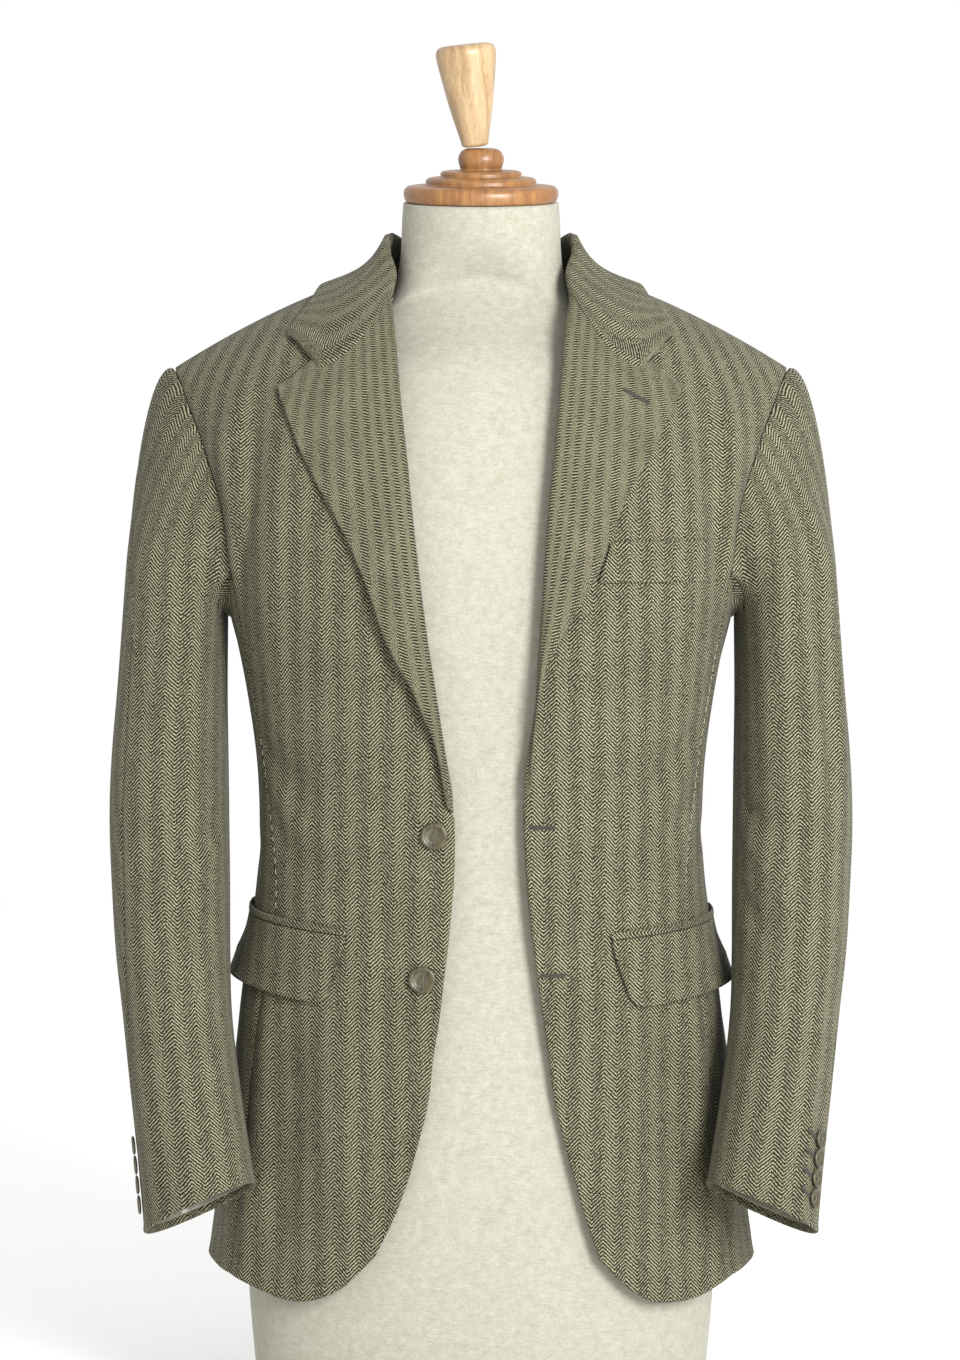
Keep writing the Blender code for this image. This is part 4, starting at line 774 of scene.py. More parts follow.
def sleeve_measure():
    """Distance round a sleeve from its front, and up it from the top of the arm."""
    points = sleeve(SLEEVE_ANGLES[None], SLEEVE_LEVELS[:, None])
    arm = int(np.argmin(np.abs(SLEEVE_LEVELS - 1)))
    front = int(np.argmin(np.abs(SLEEVE_ANGLES - 90)))
    down = np.linalg.norm(np.diff(points, axis=0), axis=-1)
    down = np.pad(np.cumsum(down, axis=0), ((1, 0), (0, 0)))
    height = points[arm, :, 2] - points[arm, front, 2] + down[arm] - down
    step = np.linalg.norm(np.diff(points, axis=1), axis=-1)
    level_step = np.sqrt(np.maximum(step**2 - np.diff(height, axis=1) ** 2, 0))
    round_it = np.pad(np.cumsum(level_step, axis=1), ((0, 0), (1, 0)))
    cloth = np.stack([round_it - round_it[:, front:front + 1], height], axis=-1)
    eased = np.stack([np.broadcast_to(cloth[arm, :, 0], height.shape), height], axis=-1)
    for i in range(arm, 0, -1):
        cloth[i - 1] = laid_flat(points[i], cloth[i], points[i - 1])
    for row in cloth[:arm]:
        row[:] = cloth[arm] + evened(row - cloth[arm], EVEN_SOFT)
    aside = np.abs((SLEEVE_ANGLES + 180) % 360 - 180) / EASED_ANGLE
    share = soft(np.clip(EASED_REACH - aside, 0, 1))[:, None]
    cloth[:arm] = (1 - share) * cloth[:arm] + share * eased[:arm]
    return cloth


SLEEVE_CLOTH = sleeve_measure()


def sleeve_cloth(angle, level):
    """Place in the cloth of a point of the sleeve."""
    row = level / (SLEEVE_LEVELS[1] - SLEEVE_LEVELS[0])
    column = (angle - SLEEVE_ANGLES[0]) / (SLEEVE_ANGLES[1] - SLEEVE_ANGLES[0])
    return lookup(SLEEVE_CLOTH, row, column)


# ---------------------------------------------------------------- folds
# Soft folds, from one place in the cloth to another, with their half width and height.
# A trough's height is negative.
FRONT_FOLDS = [
    # across, up, to across, to up, half width, height
    (0.190, 0.690, 0.212, 0.520, 0.011, 0.0026),
    (0.172, 0.680, 0.190, 0.530, 0.010, -0.0020),
    (0.150, 0.640, 0.160, 0.480, 0.016, 0.0012),
    (0.190, 0.440, 0.130, 0.385, 0.011, -0.0014),
    (0.185, 0.400, 0.110, 0.352, 0.010, 0.0012),
    (0.175, 0.362, 0.090, 0.335, 0.009, -0.0010),
    (0.182, 0.262, 0.196, 0.040, 0.020, 0.0030),
    (0.146, 0.215, 0.150, 0.045, 0.018, -0.0022),
    (0.108, 0.225, 0.104, 0.060, 0.020, 0.0016),
    (0.070, 0.330, 0.062, 0.130, 0.020, -0.0010),
    (0.046, 0.360, 0.110, 0.392, 0.008, -0.0007),
    (0.052, 0.257, 0.105, 0.262, 0.009, -0.0007),
]
BACK_FOLDS = [
    (0.300, 0.690, 0.290, 0.480, 0.013, 0.0030),
    (0.322, 0.670, 0.315, 0.500, 0.011, -0.0024),
    (0.345, 0.640, 0.350, 0.520, 0.016, 0.0014),
    (0.290, 0.420, 0.370, 0.372, 0.011, -0.0018),
    (0.280, 0.380, 0.360, 0.345, 0.010, 0.0014),
    (0.300, 0.345, 0.380, 0.325, 0.010, -0.0012),
    (0.262, 0.250, 0.258, 0.040, 0.020, 0.0030),
    (0.302, 0.240, 0.306, 0.040, 0.019, -0.0024),
    (0.345, 0.255, 0.352, 0.040, 0.022, 0.0026),
    (0.392, 0.235, 0.396, 0.050, 0.020, -0.0018),
]
SIDE_FOLDS = [
    (0.235, 0.505, 0.225, 0.330, 0.011, -0.0016),
    (0.255, 0.380, 0.205, 0.352, 0.010, -0.0016),
    (0.240, 0.240, 0.236, 0.040, 0.018, -0.0022),
]
SLEEVE_FOLDS = {
    -1: [
        (-0.012, 0.040, -0.016, -0.120, 0.012, -0.0012),
        (0.022, 0.010, 0.018, -0.190, 0.014, 0.0012),
        (-0.055, 0.030, -0.062, -0.260, 0.015, -0.0014),
        (0.050, -0.165, -0.020, -0.205, 0.008, -0.0018),
        (0.052, -0.190, -0.015, -0.240, 0.009, 0.0014),
        (0.050, -0.235, -0.012, -0.262, 0.008, -0.0014),
        (0.040, -0.300, -0.010, -0.350, 0.010, -0.0009),
        (-0.030, -0.330, -0.036, -0.440, 0.012, 0.0010),
        (-0.105, -0.120, -0.150, -0.200, 0.013, -0.0018),
        (-0.110, -0.180, -0.150, -0.245, 0.012, 0.0016),
    ],
    1: [
        (-0.018, 0.060, -0.024, -0.150, 0.008, -0.0020),
        (-0.036, 0.050, -0.044, -0.160, 0.011, 0.0016),
        (0.018, 0.010, 0.016, -0.180, 0.014, 0.0012),
        (0.052, -0.150, -0.012, -0.200, 0.008, -0.0018),
        (0.050, -0.182, -0.008, -0.236, 0.009, 0.0014),
        (0.052, -0.226, -0.014, -0.270, 0.008, -0.0015),
        (0.036, -0.310, -0.014, -0.346, 0.010, -0.0009),
        (-0.040, -0.290, -0.046, -0.420, 0.013, -0.0010),
        (-0.100, -0.110, -0.146, -0.185, 0.013, -0.0018),
        (-0.112, -0.170, -0.152, -0.240, 0.012, 0.0016),
    ],
}
FOLD_END = 0.22             # share of a fold's length over which it dies away
FOLD_WAVER = 0.0035         # how far a fold wanders from its line


def fold_height(cloth, folds):
    """Height of all the folds at places in the cloth."""
    height = np.zeros(cloth.shape[:-1])
    for number, (u0, v0, u1, v1, half, rise) in enumerate(folds):
        along = np.array([u1 - u0, v1 - v0])
        length = np.linalg.norm(along)
        along /= length
        offset = cloth - (u0, v0)
        t = offset @ along / length
        waver = FOLD_WAVER * np.sin(2 * math.pi * (t * 0.9 + 0.37 * number))
        away = offset @ np.array([-along[1], along[0]]) - waver
        wide = half * (1 + 0.25 * np.sin(5 * t + number))
        begun = np.clip((t + FOLD_END) / (2 * FOLD_END), 0, 1)
        fade = soft(begun * np.clip((1 + FOLD_END - t) / (2 * FOLD_END), 0, 1))
        height += rise * fade * np.exp(-(away / wide) ** 2)
    return height


# ---------------------------------------------------------------- materials
# The herringbone's lines are drawn a little too coarse, and its fibres about three times too
# coarse, so that both show.
BAND = 0.0088               # width of one slant of the herringbone; a repeat is two of them
LINE = 0.0028               # from one light line to the next, up the cloth
FIBRE = 0.0010
WAVER = 0.0012              # how far the lines wander
NAP = 0.9                   # how strongly the fibres break the lines up
PAINTED_SLANT_SHADE = 0.16               # painted shade: how much one slant is drawn lighter than the next, as the light would fall on them


def linear(code):
    """Linear colour of an sRGB hex code."""
    parts = [int(code[i:i + 2], 16) / 255 for i in (0, 2, 4)]
    bright = [part / 12.92 if part < 0.04045 else ((part + 0.055) / 1.055) ** 2.4 for part in parts]
    return (*bright, 1.0)


def add(tree, kind, inputs=None, **settings):
    """Adds a shader node with its settings; inputs are values or the sockets they come from."""
    made = tree.nodes.new("ShaderNode" + kind)
    for key, value in settings.items():
        setattr(made, key, value)
    for key, value in (inputs or {}).items():
        if isinstance(value, bpy.types.NodeSocket):
            tree.links.new(value, made.inputs[key])
        else:
            made.inputs[key].default_value = value
    return made


def finish(name, **values):
    """New material: its tree and its shader, with the plain values set on the shader."""
    material = bpy.data.materials.new(name)
    material.use_nodes = True
    tree = material.node_tree
    shader = tree.nodes["Principled BSDF"]
    for key, value in values.items():
        shader.inputs[key].default_value = value
    return material, tree, shader


def herringbone():
    """Brushed wool herringbone: cream weft slants over an olive brown warp, dull, with a little nap, and
    painted shade that makes every other slant darker.
    """
    material, tree, shader = finish("herringbone wool", **{"Roughness": 0.88, "Sheen Weight": 0.05,
                                    "Sheen Roughness": 0.45, "Specular IOR Level": 0.25})
    place = add(tree, "UVMap", uv_map="cloth")
    waver = add(tree, "TexNoise", {"Vector": place.outputs["UV"], "Scale": 90.0, "Detail": 1.0},
                noise_dimensions="2D")
    off = add(tree, "VectorMath", {0: waver.outputs["Color"], 1: (0.5, 0.5, 0.5)}, operation="SUBTRACT")
    moved = add(tree, "VectorMath", {0: off.outputs[0], 1: (WAVER, WAVER, 0.0), 2: place.outputs["UV"]},
                operation="MULTIPLY_ADD")
    parts = add(tree, "SeparateXYZ", {"Vector": moved.outputs[0]})
    slant = add(tree, "Math", {0: parts.outputs["X"], 1: BAND}, operation="PINGPONG")
    rise = add(tree, "Math", {0: parts.outputs["Y"], 1: slant.outputs[0]}, operation="ADD")
    turn = add(tree, "Math", {0: rise.outputs[0], 1: 2 * math.pi / LINE}, operation="MULTIPLY")
    wave = add(tree, "Math", {0: turn.outputs[0]}, operation="SINE")
    fibre = add(tree, "TexNoise", {"Vector": place.outputs["UV"], "Scale": 1 / FIBRE, "Detail": 2.0,
                                   "Roughness": 0.6}, noise_dimensions="2D")
    nap = add(tree, "MapRange", {0: fibre.outputs["Fac"], 1: 0.3, 2: 0.7, 3: -NAP, 4: NAP})
    both = add(tree, "Math", {0: wave.outputs[0], 1: nap.outputs[0]}, operation="ADD")
    # painted shade: a sine across the slants makes every other slant lighter and the next darker, as light
    # would fall on them
    across = add(tree, "Math", {0: parts.outputs["X"], 1: math.pi / BAND}, operation="MULTIPLY")
    painted_slant_shade = add(tree, "Math", {0: across.outputs[0]}, operation="SINE")
    shaded = add(tree, "Math", {0: painted_slant_shade.outputs[0], 1: PAINTED_SLANT_SHADE, 2: both.outputs[0]},
                 operation="MULTIPLY_ADD")
    amount = add(tree, "MapRange", {0: shaded.outputs[0], 1: 0.0, 2: 0.95, 3: 0.0, 4: 1.0},
                 interpolation_type="SMOOTHSTEP")
    patch = add(tree, "TexNoise", {"Vector": place.outputs["UV"], "Scale": 28.0, "Detail": 2.0},
                noise_dimensions="2D")
    warp = add(tree, "Mix", {0: patch.outputs["Fac"], 6: linear("100E05"), 7: linear("1C190B")},
               data_type="RGBA")
    weft = add(tree, "Mix", {0: patch.outputs["Fac"], 6: linear("7F7C61"), 7: linear("918E73")},
               data_type="RGBA")
    color = add(tree, "Mix", {0: amount.outputs[0], 6: warp.outputs[2], 7: weft.outputs[2]}, data_type="RGBA")
    tree.links.new(color.outputs[2], shader.inputs["Base Color"])
    bump = add(tree, "Bump", {"Strength": 0.35, "Distance": 0.0006, "Height": both.outputs[0]})
    tree.links.new(bump.outputs[0], shader.inputs["Normal"])
    return material


def plain_weave(name, dark, light, thread, roughness, sheen):
    """Plain woven cloth, its threads over and under each other at right angles."""
    material, tree, shader = finish(name, **{"Roughness": roughness, "Sheen Weight": sheen})
    place = add(tree, "TexCoord")
    patch = add(tree, "TexNoise", {"Vector": place.outputs["Object"], "Scale": 160.0, "Detail": 3.0})
    stretched = add(tree, "Mapping", {"Vector": place.outputs["Object"], "Scale": (0.15, 0.15, 1.0)})
    slub = add(tree, "TexNoise", {"Vector": stretched.outputs[0], "Scale": 1 / thread, "Detail": 2.0})
    fine = add(tree, "TexNoise", {"Vector": place.outputs["Object"], "Scale": 0.6 / thread, "Detail": 1.0})
    grain = add(tree, "Math", {0: slub.outputs["Fac"], 1: fine.outputs["Fac"]}, operation="ADD")
    amount = add(tree, "Math", {0: grain.outputs[0], 1: patch.outputs["Fac"]}, operation="ADD")
    share = add(tree, "MapRange", {0: amount.outputs[0], 1: 1.1, 2: 1.9, 3: 0.0, 4: 1.0})
    color = add(tree, "Mix", {0: share.outputs[0], 6: linear(dark), 7: linear(light)}, data_type="RGBA")
    tree.links.new(color.outputs[2], shader.inputs["Base Color"])
    bump = add(tree, "Bump", {"Strength": 0.3, "Distance": 0.0004, "Height": grain.outputs[0]})
    tree.links.new(bump.outputs[0], shader.inputs["Normal"])
    return material


def beech(name, dark, light):
    """Turned and waxed beech: pale, with fine flecks along the grain and a soft gloss."""
    material, tree, shader = finish(name, **{"Roughness": 0.42, "Coat Weight": 0.15, "Coat Roughness": 0.3})
    place = add(tree, "TexCoord")
    rings = add(tree, "Mapping", {"Vector": place.outputs["Object"], "Scale": (1.0, 0.35, 0.12)})
    grain = add(tree, "TexNoise",
                {"Vector": rings.outputs[0], "Scale": 160.0, "Detail": 4.0, "Distortion": 0.6})
    flecks = add(tree, "Mapping", {"Vector": place.outputs["Object"], "Scale": (1.0, 1.0, 0.1)})
    fleck = add(tree, "TexNoise", {"Vector": flecks.outputs[0], "Scale": 900.0, "Detail": 1.0})
    sum_both = add(tree, "Math", {0: fleck.outputs["Fac"], 1: 0.4, 2: grain.outputs["Fac"]},
                   operation="MULTIPLY_ADD")
    share = add(tree, "MapRange", {0: sum_both.outputs[0], 1: 0.5, 2: 0.9, 3: 0.0, 4: 1.0})
    color = add(tree, "Mix", {0: share.outputs[0], 6: linear(light), 7: linear(dark)}, data_type="RGBA")
    tree.links.new(color.outputs[2], shader.inputs["Base Color"])
    bump = add(tree, "Bump", {"Strength": 0.12, "Distance": 0.0003, "Height": share.outputs[0]})
    tree.links.new(bump.outputs[0], shader.inputs["Normal"])
    return material


def horn():
    """Polished horn: dark olive brown, streaked, with a clear gloss."""
    material, tree, shader = finish("horn", **{"Roughness": 0.42, "Coat Weight": 0.1, "Coat Roughness": 0.2})
    place = add(tree, "TexCoord")
    streaks = add(tree, "Mapping", {"Vector": place.outputs["Object"], "Scale": (1.0, 0.3, 1.0)})
    cloud = add(tree, "TexNoise",
                {"Vector": streaks.outputs[0], "Scale": 240.0, "Detail": 3.0, "Distortion": 1.2})
    share = add(tree, "MapRange", {0: cloud.outputs["Fac"], 1: 0.35, 2: 0.68, 3: 0.0, 4: 1.0})
    color = add(tree, "Mix", {0: share.outputs[0], 6: linear("221E0E"), 7: linear("4C462A")},
                data_type="RGBA")
    tree.links.new(color.outputs[2], shader.inputs["Base Color"])
    return material


def satin():
    """Satin sleeve lining: pale grey green, smooth, with a stretched gloss and fine ribs."""
    material, tree, shader = finish("lining satin",
                                    **{"Roughness": 0.34, "Anisotropic": 0.5, "Sheen Weight": 0.1})
    place = add(tree, "UVMap", uv_map="cloth")
    ribs = add(tree, "Mapping", {"Vector": place.outputs["UV"], "Scale": (1.0, 0.2, 1.0)})
    rib = add(tree, "TexNoise", {"Vector": ribs.outputs[0], "Scale": 700.0, "Detail": 1.0})
    color = add(tree, "Mix", {0: rib.outputs["Fac"], 6: linear("575649"), 7: linear("7F7E70")},
                data_type="RGBA")
    tree.links.new(color.outputs[2], shader.inputs["Base Color"])
    bump = add(tree, "Bump", {"Strength": 0.2, "Distance": 0.0003, "Height": rib.outputs["Fac"]})
    tree.links.new(bump.outputs[0], shader.inputs["Normal"])
    return material


def sewing_thread(name, code):
    """Twisted polyester sewing thread, a little glossy."""
    material, tree, shader = finish(name, **{"Roughness": 0.6, "Sheen Weight": 0.2})
    place = add(tree, "TexCoord")
    ply = add(tree, "TexNoise", {"Vector": place.outputs["Object"], "Scale": 2500.0, "Detail": 1.0})
    share = add(tree, "MapRange", {0: ply.outputs["Fac"], 1: 0.35, 2: 0.65, 3: 0.7, 4: 1.1})
    color = add(tree, "VectorMath", {0: linear(code)[:3], 3: share.outputs[0]}, operation="SCALE")
    tree.links.new(color.outputs[0], shader.inputs["Base Color"])
    return material


def seamless_paper():
    """Matt white studio paper."""
    material, tree, shader = finish("studio paper", **{"Roughness": 0.95, "Specular IOR Level": 0.1})
    place = add(tree, "TexCoord")
    tooth = add(tree, "TexNoise", {"Vector": place.outputs["Object"], "Scale": 60.0, "Detail": 2.0})
    color = add(tree, "Mix", {0: tooth.outputs["Fac"], 6: linear("FBFBFA"), 7: linear("FDFDFC")},
                data_type="RGBA")
    tree.links.new(color.outputs[2], shader.inputs["Base Color"])
    return material


MATERIALS = {
    "satin": satin(),
    "horn": horn(),
    "linen": plain_weave("bleached linen", "858373", "98968A", 0.0009, 0.9, 0.1),
    "beech neck_cap": beech("turned beech", "6A4420", "8E6335"),
    "beech finial": beech("pale turned beech", "836845", "AA906C"),
    "button thread": sewing_thread("button thread", "4A4632"),
    "pick thread": sewing_thread("pale basting thread", "A6A28A"),
    "hole thread": sewing_thread("buttonhole twist", "2B2818"),
    # painted shade: the near-black thread that stands for the shade inside a buttonhole's cut
    "slit": sewing_thread("dark inside of a cut", "12110A"),
}


# ---------------------------------------------------------------- cloth walls
EDGES = ("left", "right", "bottom", "top")
EDGE_SWELL = 0.0012         # a faced edge is this much thicker on its outside
EDGE_REACH = 0.0050         # and that dies away over this much
SEAM_DIP = 0.0009           # a seam draws the cloth in by this much
SEAM_REACH = 0.0022
RIM_TURN = (45.0, 0.0, -45.0)  # degrees round a rim, from its outside to its inside
BODY = "root"
CLOTH_FINISH = (herringbone(), "herringbone_cloth")


def edge_distance(grid, edge):
    """Distance in the cloth from one of a grid's edges."""
    axis = 1 if edge in ("left", "right") else 0
    step = np.linalg.norm(np.diff(grid, axis=axis), axis=-1)
    pad = ((1, 0), (0, 0)) if axis == 0 else ((0, 0), (1, 0))
    along = np.pad(np.cumsum(step, axis=axis), pad)
    if edge in ("right", "top"):
        along = np.take(along, [-1], axis=axis) - along
    return along


def draw_in(grid, gaps):
    """Grid with its edges drawn in along the cloth by each edge's gap."""
    grid = grid.copy()
    for edge, gap in gaps.items():
        axis = 1 if edge in ("left", "right") else 0
        order = slice(None) if edge in ("left", "bottom") else slice(None, None, -1)
        lines = np.moveaxis(grid, axis, 0)[order]
        step = np.linalg.norm(np.diff(lines[..., 0:3], axis=0), axis=-1)
        along = np.concatenate([np.zeros((1, step.shape[1])), np.cumsum(step, axis=0)])
        moved = lines.copy()
        gap = np.broadcast_to(gap, lines.shape[1])
        for k in range(lines.shape[1]):
            target = np.maximum(along[:, k], gap[k] + 0.2 * along[:, k])
            for c in range(grid.shape[2]):
                moved[:, k, c] = np.interp(target, along[:, k], lines[:, k, c])
        lines[:] = moved
    return grid


def rim_loop(rows, columns):
    """Rows and columns of the points round a grid's border."""
    i = ([0] * (columns - 1) + list(range(rows - 1))
         + [rows - 1] * (columns - 1) + list(range(rows - 1, 0, -1)))
    j = (list(range(columns - 1)) + [columns - 1] * (rows - 1)
         + list(range(columns - 1, 0, -1)) + [0] * (rows - 1))
    return np.array(i), np.array(j)


def grid_faces(rows, columns, start, flip, tube=False):
    """Quads between the points of a grid that are numbered from start."""
    index = start + np.arange(rows * columns).reshape(rows, columns)
    if tube:
        index = np.hstack([index, index[:, :1]])
    quads = np.stack([index[:-1, :-1], index[:-1, 1:], index[1:, 1:], index[1:, :-1]], axis=-1).reshape(-1, 4)
    return quads[:, ::-1] if flip else quads


def finish_mesh(name, points, faces, cloth, finish):
    """Object of points and faces, with its cloth coordinates and its finish's material; the finish's slot
    name is not used.
    """
    data = bpy.data.meshes.new(name)
    data.from_pydata(points.tolist(), [],
                     [face.tolist() if hasattr(face, "tolist") else face for face in faces])
    data.update()
    mesh = bmesh.new()
    mesh.from_mesh(data)
    bmesh.ops.recalc_face_normals(mesh, faces=mesh.faces)
    if mesh.calc_volume(signed=True) < 0:
        bmesh.ops.reverse_faces(mesh, faces=mesh.faces)
    mesh.to_mesh(data)
    mesh.free()
    if cloth is not None:
        layer = data.uv_layers.new(name="cloth")
        corner = np.empty(len(data.loops), dtype=np.int32)
        data.loops.foreach_get("vertex_index", corner)
        layer.data.foreach_set("uv", cloth[corner].astype(np.float32).ravel())
    data.shade_smooth()
    data.materials.append(finish[0])
    piece = bpy.data.objects.new(name, data)
    bpy.context.scene.collection.objects.link(piece)
    piece.location = (0.0, DEPTH_CENTRE, HEM_HEIGHT)
    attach(piece, BODY)
    return piece


def cloth_wall(name, outer, normal, cloth, free=None, sewn=(), thick=CLOTH, rise=0.0, weave=1.0,
               finish=CLOTH_FINISH, tube=False):
    """Cloth piece: outside and inside skins with a rounded rim, swollen at its free edges.

    free gives how much each free edge swells, all along it or row by row.
    Each edge is drawn in by the rim's radius, so that the piece ends at the CAD's line.
    weave is how much finer the weave is drawn than on the body."""
    rows, columns = outer.shape[:2]
    free = free or {}
    swell = np.zeros((rows, columns))
    for edge, share in free.items():
        share = np.reshape(share, (-1, 1)) if edge in ("left", "right") else share
        swell = np.maximum(swell, share * np.exp(-(edge_distance(outer, edge) / EDGE_REACH) ** 2))
    dip = np.zeros((rows, columns))
    for edge in sewn:
        dip = np.maximum(dip, np.exp(-(edge_distance(outer, edge) / SEAM_REACH) ** 2))
    outer = outer + normal * (rise - SEAM_DIP * dip * (1 - swell))[..., None]
    gaps = {edge: thick / 2 for edge in EDGES}
    gaps.update({edge: thick / 2 + SEAM / 2 for edge in sewn})
    gaps.update({edge: thick / 2 + 0.75 * EDGE_SWELL * share for edge, share in free.items()})
    full = np.concatenate([outer + normal * (EDGE_SWELL * swell)[..., None],
                           outer - normal * (thick + 0.5 * EDGE_SWELL * swell)[..., None], cloth], axis=-1)
    if tube:
        loops = [(np.zeros(columns, int), np.arange(columns)),
                 (np.full(columns, rows - 1), np.arange(columns))]
    else:
        full = draw_in(full, gaps)
        loops = [rim_loop(rows, columns)]
    skins = [full[..., 0:3], full[..., 3:6]]
    flat = full[..., 6:8]
    points = [skins[0].reshape(-1, 3), skins[1].reshape(-1, 3)]
    coords = [flat.reshape(-1, 2), flat.reshape(-1, 2)]
    faces = [grid_faces(rows, columns, 0, False, tube), grid_faces(rows, columns, rows * columns, True, tube)]
    start = 2 * rows * columns
    for i, j in loops:
        inner_i, inner_j = np.clip(i, 1, rows - 2), j if tube else np.clip(j, 1, columns - 2)
        middle = (skins[0][i, j] + skins[1][i, j]) / 2
        half = (skins[0][i, j] - skins[1][i, j]) / 2
        size = np.linalg.norm(half, axis=-1, keepdims=True)
        within = (skins[0][inner_i, inner_j] + skins[1][inner_i, inner_j]) / 2
        out = middle - within
        out -= half * np.sum(out * half, axis=-1, keepdims=True) / size**2
        out = unit(out)
        out_flat = unit(flat[i, j] - flat[inner_i, inner_j] + 1e-9)
        count = len(i)
        rings = [i * columns + j]
        for degrees in RIM_TURN:
            turn = math.radians(degrees)
            points.append(middle + half * math.sin(turn) + out * size * math.cos(turn))
            coords.append(flat[i, j] + out_flat * size * (math.pi / 2 - turn))
            rings.append(start + np.arange(count))
            start += count
        rings.append(rows * columns + i * columns + j)
        for one, two in zip(rings, rings[1:]):
            faces.append(np.stack([one, np.roll(one, -1), np.roll(two, -1), two], axis=-1))
    piece = finish_mesh(name, np.concatenate(points), np.concatenate(faces), weave * np.concatenate(coords),
                        finish)
    return piece, full


TENTHS = 1e4                # tenths of a millimetre in a metre
LEAST_FILLED = 0.31         # least and most of its flat box that a sheet's worked-out area is held to
MOST_FILLED = 0.999


def declare(piece, full):
    """Works out the flat cut of a cloth piece: its size along weft and warp, and its area; nothing of it is
    kept.
    """
    outer = full[..., 0:3]
    flat = full[..., 6:8].reshape(-1, 2)
    one = np.cross(outer[:-1, 1:] - outer[:-1, :-1], outer[1:, :-1] - outer[:-1, :-1])
    two = np.cross(outer[1:, :-1] - outer[1:, 1:], outer[:-1, 1:] - outer[1:, 1:])
    area = (np.linalg.norm(one, axis=-1) + np.linalg.norm(two, axis=-1)).sum() / 2
    width, length = (float(np.ceil(size * TENTHS) / TENTHS) for size in np.ptp(flat, axis=0))
    area = max(min(float(area), MOST_FILLED * width * length), LEAST_FILLED * width * length)


# ---------------------------------------------------------------- fronts, sides and backs
FOLDS = 1.85                # how strongly the folds of the tables stand out
UNEVEN = np.array([0.004, -0.012])  # the right side's folds lie this far from the left's
CALM_REACH = 0.012          # folds die away this near a sewn side
PIECE_SHIFT = {"front": 0.0, "side": 0.0062, "back": -0.0035}  # where each piece's pattern starts


def panel(name, kind, outline, side, sewn, free, folds):
    """Body panel: the CAD's edges, finer, with its folds."""
    grid = coons(*outline)
    cloth = body_cloth(grid[..., 0], grid[..., 1])
    angle = grid[..., 0] * side
    outer = body(angle, grid[..., 1])
    normal = outward(body, angle, grid[..., 1])
    rise = FOLDS * fold_height(cloth + UNEVEN * (side > 0), folds) * seam_calm(cloth, sewn)
    if kind == "back":
        cloth = back_cloth(*np.moveaxis(grid, -1, 0))
    cloth = cloth + (PIECE_SHIFT[kind], 0.0)
    piece, full = cloth_wall(name, outer, normal, cloth, free=free, sewn=sewn, rise=rise)
    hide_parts(name_of_node(name))
    declare(piece, full)


def seam_calm(cloth, sewn):
    """Folds die away towards a piece's sewn sides, so that neighbours stay level."""
    calm = np.ones(cloth.shape[:2])
    for edge in sewn:
        calm *= 1 - np.exp(-(edge_distance(cloth, edge) / CALM_REACH) ** 2)
    return calm


def name_of_node(name):
    """The CAD node that a piece stands for: the piece's name without its ending."""
    return name.rsplit("_", 1)[0]


def body_pieces(word, side):
    outline = front_outline(side)
    below = np.clip((BREAK_ROW[side] - np.arange(SEAM_ROWS + ARM_ROWS + 1)) / FINER, 0, 1)
    hem = {"bottom": 0.6}
    panel(f"front_{word}_cloth", "front", outline, side, ("right", "top"), {"left": below, "bottom": 1.0},
          FRONT_FOLDS)
    panel(f"side_{word}_cloth", "side", side_outline(side), side, ("left", "right"), hem, SIDE_FOLDS)
    panel(f"back_{word}_cloth", "back", back_outline(), side, ("left", "right", "top"), hem, BACK_FOLDS)


# ---------------------------------------------------------------- sleeves
SLEEVE_SHIFT = {"top": 0.0, "under": 0.0052}  # where each piece's pattern starts
CAP_CALM = 2.2              # how fast the folds set in on the way down the cap


def sleeve_cloths(word, side):
    levels = np.array(CAP_LEVELS + ARM_LEVELS)
    angles, split = sleeve_lines(levels, side)
    # one column keeps to the middle of the cap's outside, so that the cap's line is even
    ridge = int(np.argmin(np.abs(angles[0])))
    hat = np.interp(np.arange(angles.shape[1]), (0, ridge, split), (0, 1, 0))
    angles -= (np.clip(2 - levels, 0, 1) * angles[:, ridge])[:, None] * hat
    level_grid = np.broadcast_to(levels[:, None], angles.shape)
    outer = sleeve(angles, level_grid)
    normal = outward(sleeve, angles, level_grid)
    first = smooth(CAP_TABLE, angles[0])
    normal[0] = first[:, 9:12]
    normal[1] = unit(normal[1] + normal[0] + normal[2])
    outer[0] += SEAM * first[:, 6:9]
    cloth = sleeve_cloth(angles, level_grid)
    rise = FOLDS * fold_height(cloth, SLEEVE_FOLDS[side])
    calm = np.clip(level_grid * CAP_CALM, 0, 1) ** 2
    mirror = np.array([side, 1, 1])
    for part, columns in (("top", slice(0, split + 1)), ("under", slice(split, None))):
        sides = ("left", "right")
        flat = cloth[:, columns] + (SLEEVE_SHIFT[part], 0.0)
        near = seam_calm(flat, sides)
        piece, full = cloth_wall(f"{part}_sleeve_{word}_cloth", outer[:, columns] * mirror,
                                 normal[:, columns] * mirror, flat, sewn=sides + ("bottom",),
                                 free={"top": 0.8}, rise=(rise * calm)[:, columns] * near)
        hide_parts(f"{part}_sleeve_{word}")
        declare(piece, full)


PLEAT = 0.0005              # height of the lining's small waves, and their number
PLEATS = 17


